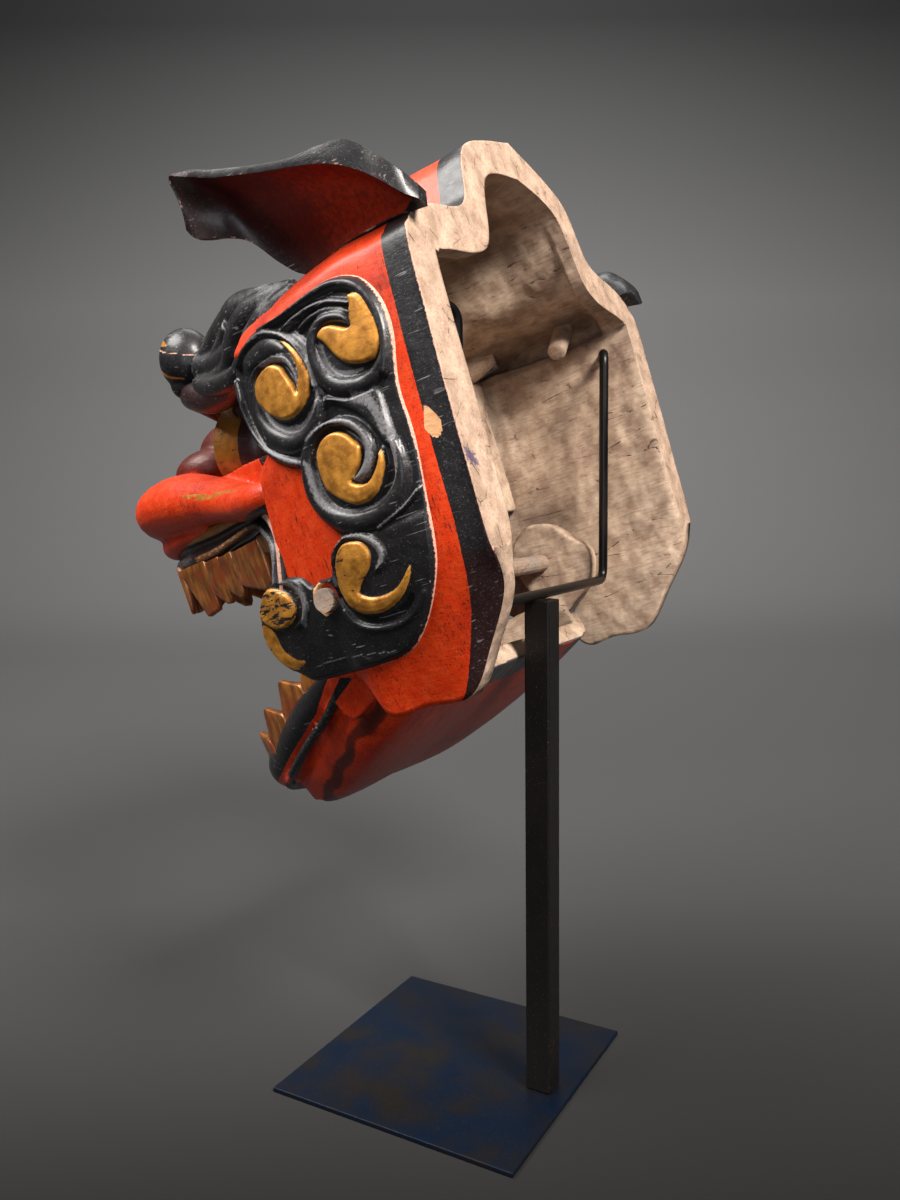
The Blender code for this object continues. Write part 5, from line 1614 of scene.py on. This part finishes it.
def jaw_tray():
    forms = Forms()
    outside = JAW_WIDTH / 2
    plate = catmull(np.array(PLATE_OUTLINE) * JAW_DEPTH, 3, True)
    forms.rings([[Vector((x, y, z)) for y, z in plate] for x in (outside - JAW_WALL, outside)])
    forms.roll([(*at_jaw(*row[:3]), row[3] * JAW_LIP, row[4] * JAW_LIP) for row in JAW_LIP_PATH])
    forms.roll([(*row, row[3]) for row in JAW_BEAD], 16)
    forms.mirror()
    loops = []
    for row in catmull(JAW_SECTIONS, 4):
        outer, inner = jaw_lines(row)
        y = -row[0] * JAW_LENGTH
        ring = []
        for line, backwards in ((outer, False), (inner, True)):
            half = catmull(line, 6)
            whole = np.vstack([half * (-1, 1), (half[:-1][::-1])])
            ring.append(whole[::-1] if backwards else whole)
        loops.append([Vector((p[0], y, p[1])) for part in ring for p in part])
    forms.rings(loops)
    forms.rings([[Vector(at_jaw(s * width, along, h)) for s, h in ((1, low), (1, top), (-1, top), (-1, low))]
                 for along, width, low, top in CHIN])
    return forms.done("jaw_tray", JAW, lacquer, 1.6, 3)

jaw_piece = jaw_tray()
print("jaw:", triangle_count(jaw_piece), "triangles")

# %% [markdown]
# ## Paint on the jaw
#
# The lip is black over a thin red line. Brown and olive smears cross the red flank, and the inside and the
# arms are bare.

# %% Paint on the jaw
# The thin red line under the lip, seen from the side: back and up
RED_LINE = ((-164, -15), (-144, -17.5), (-114, -18.5), (-77, -20.5), (-63, -18.5), (-49, -15), (0, -14))


def paint_jaw(item):
    """Black lip, thin red line and black bead over a smeared red flank, with bare wood inside."""
    points = local_points(item, JAW)
    x, y, z = points.T
    x = np.abs(x)
    bead = np.array(JAW_BEAD)
    gap, _ = segment_distance(np.column_stack([x, y, z]), bead[:-1, :3], bead[1:, :3])
    line = np.interp(y, *zip(*RED_LINE))
    black = np.maximum(np.minimum(z - line - 1.4, 9), 3.3 - gap.min(1))
    wear = edge_wear(item)
    noise = value_noise(points, 14, 61)
    stripe = smooth(1.3 - np.abs(z + 45 + 3 * noise) / 5) * smooth((-30 - y) / 10)
    olive = smooth((z + 62) / 5) * smooth((-31 - z) / 4) * smooth((y + 34 + 6 * noise) / 6)
    heart = smooth((z + 33) / 5) * smooth((-26 - z) / 3) * 0.8
    paint_piece(item, black=np.where(olive > 0.5, 3.0, black), worn=0.35 * wear,
                brown=np.where(olive > 0.5, 1.0, 0.3), dust=0.25 * wear + 0.15 + 0.5 * olive,
                smear=-0.1 + 1.5 * stripe + 0.9 * heart + 0.4 * noise)
    middle, facing = face_frames(item, JAW)
    out = np.abs(middle[:, 0])
    inside = (facing[:, 0] * np.sign(middle[:, 0]) < 0.2) & (out < JAW_WIDTH / 2 - 1.5)
    inside &= facing[:, 2] > -0.5
    arms = (middle[:, 1] > -18) & (middle[:, 2] > -36)
    leave_bare(item, arms | (inside & (middle[:, 1] > -60)))


paint_jaw(jaw_piece)
print("jaw painted:", len(jaw_piece.data.attributes), "attributes")

# %% [markdown]
# ## Teeth
#
# Both rows repeat one tooth along the lip. Geometry Nodes does the repeating: a mesh of single points
# carries each tooth's turn and size, an instance stands on every point, and the result is made real and
# given its material.

# %% Teeth
UPPER_TEETH = (  # rear and front end of each root: out, back; then its height and depth in millimetres
    (104, -56, 97.5, -70, 50, 13), (97, -71, 82.5, -105, 49, 29), (82.5, -105.5, 76, -122, 50, 29),
    (76, -122, 71, -138, 51, 30), (60, -172, 44, -186, 56, 32), (42, -187, 22, -193, 57, 31),
    (21, -193, 1, -194.5, 57, 31),
)
FANGS = ((71, -138.5, 61, -171, 53, 35),)
LOWER_TEETH = (
    (104, -48, 100, -76, -9, 22), (100, -77, 92, -104, -9, 24), (92, -105, 83, -130, -9, 24),
    (83, -131, 66, -152, -9, 22), (65, -153, 44, -164, -9, 20), (43, -164.5, 22, -169.5, -9, 20),
    (21, -169.8, 1, -170.5, -9, 20),
)


def tooth_material():
    """Gilding over black and red lacquer, rubbed thin and brown."""
    n = Nodes("gilded_teeth")
    here = n.head_place()
    streak = n.noise(n.head_place((1, 1, 0.35)), 5.0, 3, 0.5)
    broad = n.noise(here, 13, 2)
    colour = n.mix(n.ramp(streak, 0.30, 0.66), linear("#A9692A"), linear("#6A3A16"))
    colour = n.mix(n.ramp(broad, 0.48, 0.66, 0, 0.7), colour, linear("#8E3A18"))
    glint = n.ramp(n.noise(here, 1.5, 4, 0.7), 0.60, 0.74, 0, 0.6)
    colour = n.mix(glint, colour, linear("#D09A48"))
    return n.surface(Base_Color=colour, Metallic=0.35, Roughness=n.ramp(streak, 0.2, 0.8, 0.34, 0.55),
                     Coat_Weight=0.3, Coat_Roughness=0.25, Normal=n.bump(streak, 0.4, 0.5))


teeth_gilding = tooth_material()

print("finish:", teeth_gilding.name)

# %% [markdown]
# ## One tooth
#
# A tooth is a plate sawn to an outline, with its edges rounded and its tip thinned. Its mesh is a unit wide
# and tall, so that each seat can size it.

# %% One tooth
UPPER_OUTLINE = (  # one tooth from its front to its rear end, as shares of its width and depth
    (0.0, 0.0), (0.0, 0.70), (0.06, 0.75), (0.68, 0.99), (0.92, 1.0), (1.0, 0.90), (1.0, 0.0),
)
FANG_OUTLINE = (
    (0.0, 0.0), (0.18, 0.32), (0.40, 0.70), (0.55, 0.98), (0.62, 1.0), (0.97, 0.95), (1.0, 0.86), (1.0, 0.0),
)
LOWER_OUTLINE = (
    (0.0, 0.0), (0.0, 0.42), (0.20, 0.66), (0.42, 0.95), (0.50, 1.0), (0.56, 0.96), (0.78, 0.68),
    (1.0, 0.44), (1.0, 0.0),
)
TOOTH_LAYERS = (  # from one face to the other: side, share of the outline, share of the thickness
    (1, 0.55, 0.52), (1, 0.90, 0.50), (1, 0.985, 0.42), (0, 1.0, 0.0), (-1, 0.985, 0.42), (-1, 0.90, 0.50),
    (-1, 0.55, 0.52),
)


def tooth_mesh(name, shape):
    """One tooth, a unit wide and a unit tall, standing on z = 0: a plate thinned towards its sawn tip."""
    outline = np.array(shape)
    dense = np.vstack([np.linspace(a, b, 5)[:-1] for a, b in zip(outline, np.roll(outline, -1, axis=0))])
    middle = np.array((0.55, 0.35))
    mesh = bmesh.new()
    rings = []
    for side, shrink, thick in TOOTH_LAYERS:
        ring = []
        for u, v in middle + (dense - middle) * shrink:
            ring.append(mesh.verts.new((u - 0.5, side * thick * (1.0 - 0.62 * max(v, 0)), v)))
        rings.append(ring)
    count = len(dense)
    for first, second in zip(rings, rings[1:]):
        for i in range(count):
            mesh.faces.new((first[i], first[(i + 1) % count], second[(i + 1) % count], second[i]))
    for ring in (rings[0], rings[-1]):
        centre = mesh.verts.new(sum((v.co for v in ring), Vector()) / count)
        for i in range(count):
            mesh.faces.new((ring[i], ring[(i + 1) % count], centre))
    bmesh.ops.recalc_face_normals(mesh, faces=mesh.faces[:])
    data = bpy.data.meshes.new(name)
    mesh.to_mesh(data)
    mesh.free()
    return bpy.data.objects.new(name, data)

print("tooth outlines ready")

# %% [markdown]
# ## Rows of teeth
#
# A tree of Geometry Nodes stands an instance on every point, with the turn and size that the point carries,
# then makes the row real for the export.

# %% Rows of teeth
PLATE_THICK = 8.0


def geometry_group(name):
    group = bpy.data.node_groups.new(name, "GeometryNodeTree")
    group.interface.new_socket("Geometry", in_out="INPUT", socket_type="NodeSocketGeometry")
    group.interface.new_socket("Geometry", in_out="OUTPUT", socket_type="NodeSocketGeometry")
    return group


def geo(group, kind, inputs=None, **settings):
    """One geometry node with its settings and its inputs linked or set."""
    node = group.nodes.new(kind)
    for key, value in settings.items():
        setattr(node, key, value)
    for key, value in (inputs or {}).items():
        if isinstance(value, bpy.types.NodeSocket):
            group.links.new(value, node.inputs[key])
        else:
            node.inputs[key].default_value = value
    return node


def instanced_row(name, seats, tooth, material, matrix):
    """Real teeth on seats of (place, turn, sizes)."""
    mesh = bpy.data.meshes.new(name)
    mesh.from_pydata([tuple(seat[0]) for seat in seats], [], [])
    turns = mesh.attributes.new("turn", "FLOAT_VECTOR", "POINT")
    turns.data.foreach_set("vector", np.array([tuple(seat[1]) for seat in seats], float).ravel())
    sizes = mesh.attributes.new("size", "FLOAT_VECTOR", "POINT")
    sizes.data.foreach_set("vector", np.array([seat[2] for seat in seats], float).ravel())
    item = bpy.data.objects.new(name, mesh)
    scene.collection.objects.link(item)
    group = geometry_group(name + "_on_points")
    start = group.nodes.new("NodeGroupInput").outputs[0]
    info = geo(group, "GeometryNodeObjectInfo", {"Object": tooth})
    turn = geo(group, "GeometryNodeInputNamedAttribute", {"Name": "turn"}, data_type="FLOAT_VECTOR")
    size = geo(group, "GeometryNodeInputNamedAttribute", {"Name": "size"}, data_type="FLOAT_VECTOR")
    stand = geo(group, "GeometryNodeInstanceOnPoints", {"Points": start, "Instance": info.outputs["Geometry"],
                                                        "Rotation": turn.outputs["Attribute"],
                                                        "Scale": size.outputs["Attribute"]})
    real = geo(group, "GeometryNodeRealizeInstances", {"Geometry": stand.outputs[0]})
    coat = geo(group, "GeometryNodeSetMaterial", {"Geometry": real.outputs[0], "Material": material})
    group.links.new(coat.outputs[0], group.nodes.new("NodeGroupOutput").inputs[0])
    item.modifiers.new("teeth", "NODES").node_group = group
    apply_modifiers(item)
    item.data.name = name
    item.data.transform(matrix)
    item.data.polygons.foreach_set("use_smooth", np.full(len(item.data.polygons), True))
    return item


def tooth_seats(table, upwards):
    """A seat for each tooth on the left side, and its mirror on the right."""
    seats = []
    over = Matrix.Rotation(0 if upwards else pi, 3, "X")
    for x0, y0, x1, y1, root, depth in table:
        for side in (1, -1):
            front, rear = Vector((side * x0, y0, root)), Vector((side * x1, y1, root))
            if y0 > y1:
                front, rear = rear, front
            ahead = rear - front
            turn = Matrix.Rotation(np.arctan2(ahead.y, ahead.x), 3, "Z") @ over
            seats.append(((front + rear) / 2, turn.to_euler(), (ahead.length * 1.04, PLATE_THICK, depth)))
    return seats


upper_teeth = instanced_row("teeth_upper", tooth_seats(UPPER_TEETH, False),
                            tooth_mesh("upper_tooth", UPPER_OUTLINE), teeth_gilding, HEAD)
fangs = instanced_row("fangs", tooth_seats(FANGS, False),
                      tooth_mesh("fang", FANG_OUTLINE), teeth_gilding, HEAD)
lower_teeth = instanced_row("teeth_lower", tooth_seats(LOWER_TEETH, True),
                            tooth_mesh("lower_tooth", LOWER_OUTLINE), teeth_gilding, JAW)
print("teeth:", triangle_count(upper_teeth), "above and", triangle_count(lower_teeth), "below")

# %% [markdown]
# ## The stand
#
# The plate, the post and the axle are the frame's own solids and only take a finish. The bent rod is drawn
# again as a smooth round tube along the same route: tip, upright, level run over the post, upright and tip.

# %% The stand
POST_Y = 64.4
POST_TOP = 309.3
ROD_RADIUS = 3.0
ROD_SPREAD = 100.0
ROD_BEND = 9.0
ROD_RISE = 151.0
ROD_TIP_FORWARD = 16.0


def rod_route():
    _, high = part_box("cradle_rod")
    tips = Vector((high[0] / MM, POST_Y - ROD_TIP_FORWARD, POST_TOP + 0.3 + ROD_RADIUS + ROD_RISE))
    level = POST_TOP + 0.3 + ROD_RADIUS
    corners = [tips, Vector((ROD_SPREAD, POST_Y, tips.z)), Vector((ROD_SPREAD, POST_Y, level))]
    corners += [Vector((-c.x, c.y, c.z)) for c in reversed(corners)]
    route = [corners[0]]
    for before, corner, after in zip(corners, corners[1:], corners[2:]):
        start = corner + (before - corner).normalized() * ROD_BEND
        end = corner + (after - corner).normalized() * ROD_BEND
        for step in range(13):
            t = step / 12
            route.append(start * (1 - t) ** 2 + corner * (2 * t * (1 - t)) + end * t ** 2)
    route.append(corners[-1])
    return route


def cradle_rod():
    """A path through Geometry Nodes: a curve from the route, a round section, and a material."""
    route = rod_route()
    mesh = bpy.data.meshes.new("rod")
    mesh.from_pydata([tuple(p * MM) for p in route], [(i, i + 1) for i in range(len(route) - 1)], [])
    item = bpy.data.objects.new("bent_rod", mesh)
    scene.collection.objects.link(item)
    group = geometry_group("rod_along_route")
    start = group.nodes.new("NodeGroupInput").outputs[0]
    curve = geo(group, "GeometryNodeMeshToCurve", {"Mesh": start})
    section = geo(group, "GeometryNodeCurvePrimitiveCircle", {"Resolution": 32, "Radius": ROD_RADIUS * MM})
    tube = geo(group, "GeometryNodeCurveToMesh",
               {"Curve": curve.outputs[0], "Profile Curve": section.outputs[0], "Fill Caps": True})
    real = geo(group, "GeometryNodeRealizeInstances", {"Geometry": tube.outputs[0]})
    coat = geo(group, "GeometryNodeSetMaterial", {"Geometry": real.outputs[0], "Material": rod_steel})
    group.links.new(coat.outputs[0], group.nodes.new("NodeGroupOutput").inputs[0])
    item.modifiers.new("rod", "NODES").node_group = group
    apply_modifiers(item)
    item.data.polygons.foreach_set("use_smooth", np.full(len(item.data.polygons), True))
    return item


bent_rod = cradle_rod()
print("rod:", triangle_count(bent_rod), "triangles")

# %% [markdown]
# ## The solids that stay
#
# The plate, the post and the axle keep the frame's own shape. Only their materials are set.

# %% The solids that stay


def coat_node(name, material):
    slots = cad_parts[name].material_slots
    for slot in slots:
        slot.material = material


axle_wood = wood_material("axle_wood", tone="#857A70", age=0.5)
coat_node("base_plate", plate_steel)
coat_node("post", post_steel)
coat_node("jaw_axle", axle_wood)
print("coated: base_plate, post and jaw_axle")

# %% [markdown]
# ## Bodies and groups
#
# The head's pieces ride with the stand on the root body, and the jaw and its lower teeth are attached to the
# jaw's body. The table groups the pieces under names of coats. A finer piece takes the place of the plain
# solid that it was built on.

# %% Bodies and groups
ON_HEAD = {
    "vermilion_lacquer": [wall_piece, left_cheek, right_cheek, face, left_band, right_band, left_eye,
                          right_eye, left_brow, right_brow, upper_teeth, fangs],
    "black_lacquer": [left_ear, right_ear],
    "bare_wood": [left_peg, right_peg],
    "stand_steel": [bent_rod],
}
for slot_name, pieces in ON_HEAD.items():
    for piece in pieces:
        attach(piece, "root")
for piece in (jaw_piece, lower_teeth):
    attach(piece, "jaw")
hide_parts("head_shell")
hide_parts("jaw")
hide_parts("left_ear")
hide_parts("right_ear")
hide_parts("cradle_rod")
total = sum(triangle_count(p) for group in ON_HEAD.values() for p in group) + triangle_count(jaw_piece)
print("triangles in new pieces:", total)

# %% [markdown]
# ## Camera and light
#
# The photograph was taken from the head's left and a little behind it, with the rim turned to the camera. A
# warm key light comes from the camera's upper left, and a grey backdrop carries a painted fall of light, dark
# above and lighter behind the stand.

# %% Camera and light
# Where the camera was, worked out from the plate, the post and mirrored pairs of points, in metres
CAMERA_PLACE = Vector((0.54025, 0.30929, 0.37547))
CAMERA_RIGHT = Vector((-0.493471, 0.869675, -0.012341))
CAMERA_AHEAD = Vector((-0.863703, -0.491656, -0.110871))
CAMERA_UP = Vector((-0.102489, -0.044053, 0.993758))
FOCAL_LENGTH = 30.1


def camera():
    data = bpy.data.cameras.new("camera")
    data.lens = FOCAL_LENGTH
    data.sensor_width = 36
    data.sensor_fit = "AUTO"
    data.clip_start = 0.02
    item = bpy.data.objects.new("camera", data)
    item.matrix_world = Matrix((
        (CAMERA_RIGHT.x, CAMERA_UP.x, -CAMERA_AHEAD.x, CAMERA_PLACE.x),
        (CAMERA_RIGHT.y, CAMERA_UP.y, -CAMERA_AHEAD.y, CAMERA_PLACE.y),
        (CAMERA_RIGHT.z, CAMERA_UP.z, -CAMERA_AHEAD.z, CAMERA_PLACE.z), (0, 0, 0, 1)))
    scene.collection.objects.link(item)
    scene.camera = item

camera()
print("camera lens:", FOCAL_LENGTH, "mm")

# %% [markdown]
# ## Lamps
#
# Soft area lamps stand in for the studio's boxes: the key, a wide one over the face, a low fill, and one
# for the paper.

# %% Lamps


def area_light(name, place, target, size, power, colour):
    data = bpy.data.lights.new(name, "AREA")
    data.shape = "RECTANGLE"
    data.size, data.size_y = size
    data.energy = power
    data.color = linear(colour)[:3]
    item = bpy.data.objects.new(name, data)
    item.location = place
    item.rotation_euler = (Vector(target) - Vector(place)).to_track_quat("-Z", "Y").to_euler()
    scene.collection.objects.link(item)

print("lamps ready")

# %% [markdown]
# ## The paper
#
# A sheet of grey paper lies under the stand and sweeps up behind it. Its shade changes along the sweep, as
# the fall of the light does in the photograph.

# %% The paper
BACKDROP_LINE = ((-1.4, 0), (0.6, 0), (1.5, 0), (2.1, 0.03), (2.5, 0.2), (2.75, 0.55), (2.85, 1.0),
                 (2.88, 2.2), (2.9, 4.2))
PAINTED_PAPER_LIGHT = (  # how far along the sweep in metres, and the grey painted there as the fall of the light
    (0.6, "#181818"), (1.24, "#1A1A1A"), (1.42, "#313131"), (1.66, "#464646"), (2.2, "#545454"),
    (3.0, "#6A6A6A"), (3.66, "#7E7E7E"), (4.3, "#848484"), (4.83, "#848484"), (5.31, "#666666"),
    (5.75, "#3E3E3E"), (6.6, "#2A2A2A"),
)


def backdrop():
    """Grey paper for the floor that sweeps up behind the object, with a painted fall of light along it."""
    away = Vector((CAMERA_AHEAD.x, CAMERA_AHEAD.y, 0)).normalized()
    side = Vector((-away.y, away.x, 0))
    curve = catmull(np.array(BACKDROP_LINE, float), 10)
    mesh = bmesh.new()
    lines = [[mesh.verts.new(away * a + side * s + Vector((0, 0, z))) for a, z in curve] for s in (-4.5, 4.5)]
    for i in range(len(curve) - 1):
        face = mesh.faces.new((lines[0][i], lines[0][i + 1], lines[1][i + 1], lines[1][i]))
        face.smooth = True
    data = bpy.data.meshes.new("backdrop")
    mesh.to_mesh(data)
    mesh.free()
    along = np.concatenate([[0], np.cumsum(np.linalg.norm(np.diff(curve, axis=0), axis=1))])
    layer = data.attributes.new("along", "FLOAT", "POINT")
    layer.data.foreach_set("value", np.tile(along, 2).astype(np.float32))
    item = bpy.data.objects.new("backdrop", data)
    scene.collection.objects.link(item)
    n = Nodes("backdrop_paper")
    here = n.attribute("along")
    colour = linear(PAINTED_PAPER_LIGHT[0][1])
    for (start, _), (end, grey) in zip(PAINTED_PAPER_LIGHT, PAINTED_PAPER_LIGHT[1:]):
        share = n.add("ShaderNodeMapRange", {"Value": here, "From Min": start, "From Max": end})
        colour = n.mix(share.outputs["Result"], colour, linear(grey))
    data.materials.append(n.surface(Base_Color=colour, Roughness=0.95, Specular_IOR_Level=0.1))


backdrop()
area_light("key", (0.46, 1.02, 1.28), (0.0, 0.02, 0.36), (0.42, 0.42), 46, "#FFF9F2")
area_light("above_face", (0.66, -0.65, 1.38), (0.05, -0.1, 0.38), (1.0, 0.7), 36, "#FFFCF8")
area_light("low_front", (1.1, 0.4, 0.45), (0.0, 0.0, 0.3), (0.5, 0.5), 2.5, "#F4F6FF")
area_light("paper", (-1.2, -0.7, 2.6), (-2.2, -1.2, 0.6), (1.6, 1.6), 40, "#FFFFFF")
world = bpy.data.worlds.new("room")
world.use_nodes = True
world.node_tree.nodes["Background"].inputs["Color"].default_value = linear("#8A8C90")
world.node_tree.nodes["Background"].inputs["Strength"].default_value = 0.22
scene.world = world
scene.view_settings.view_transform = "Standard"
print("paper and room ready")
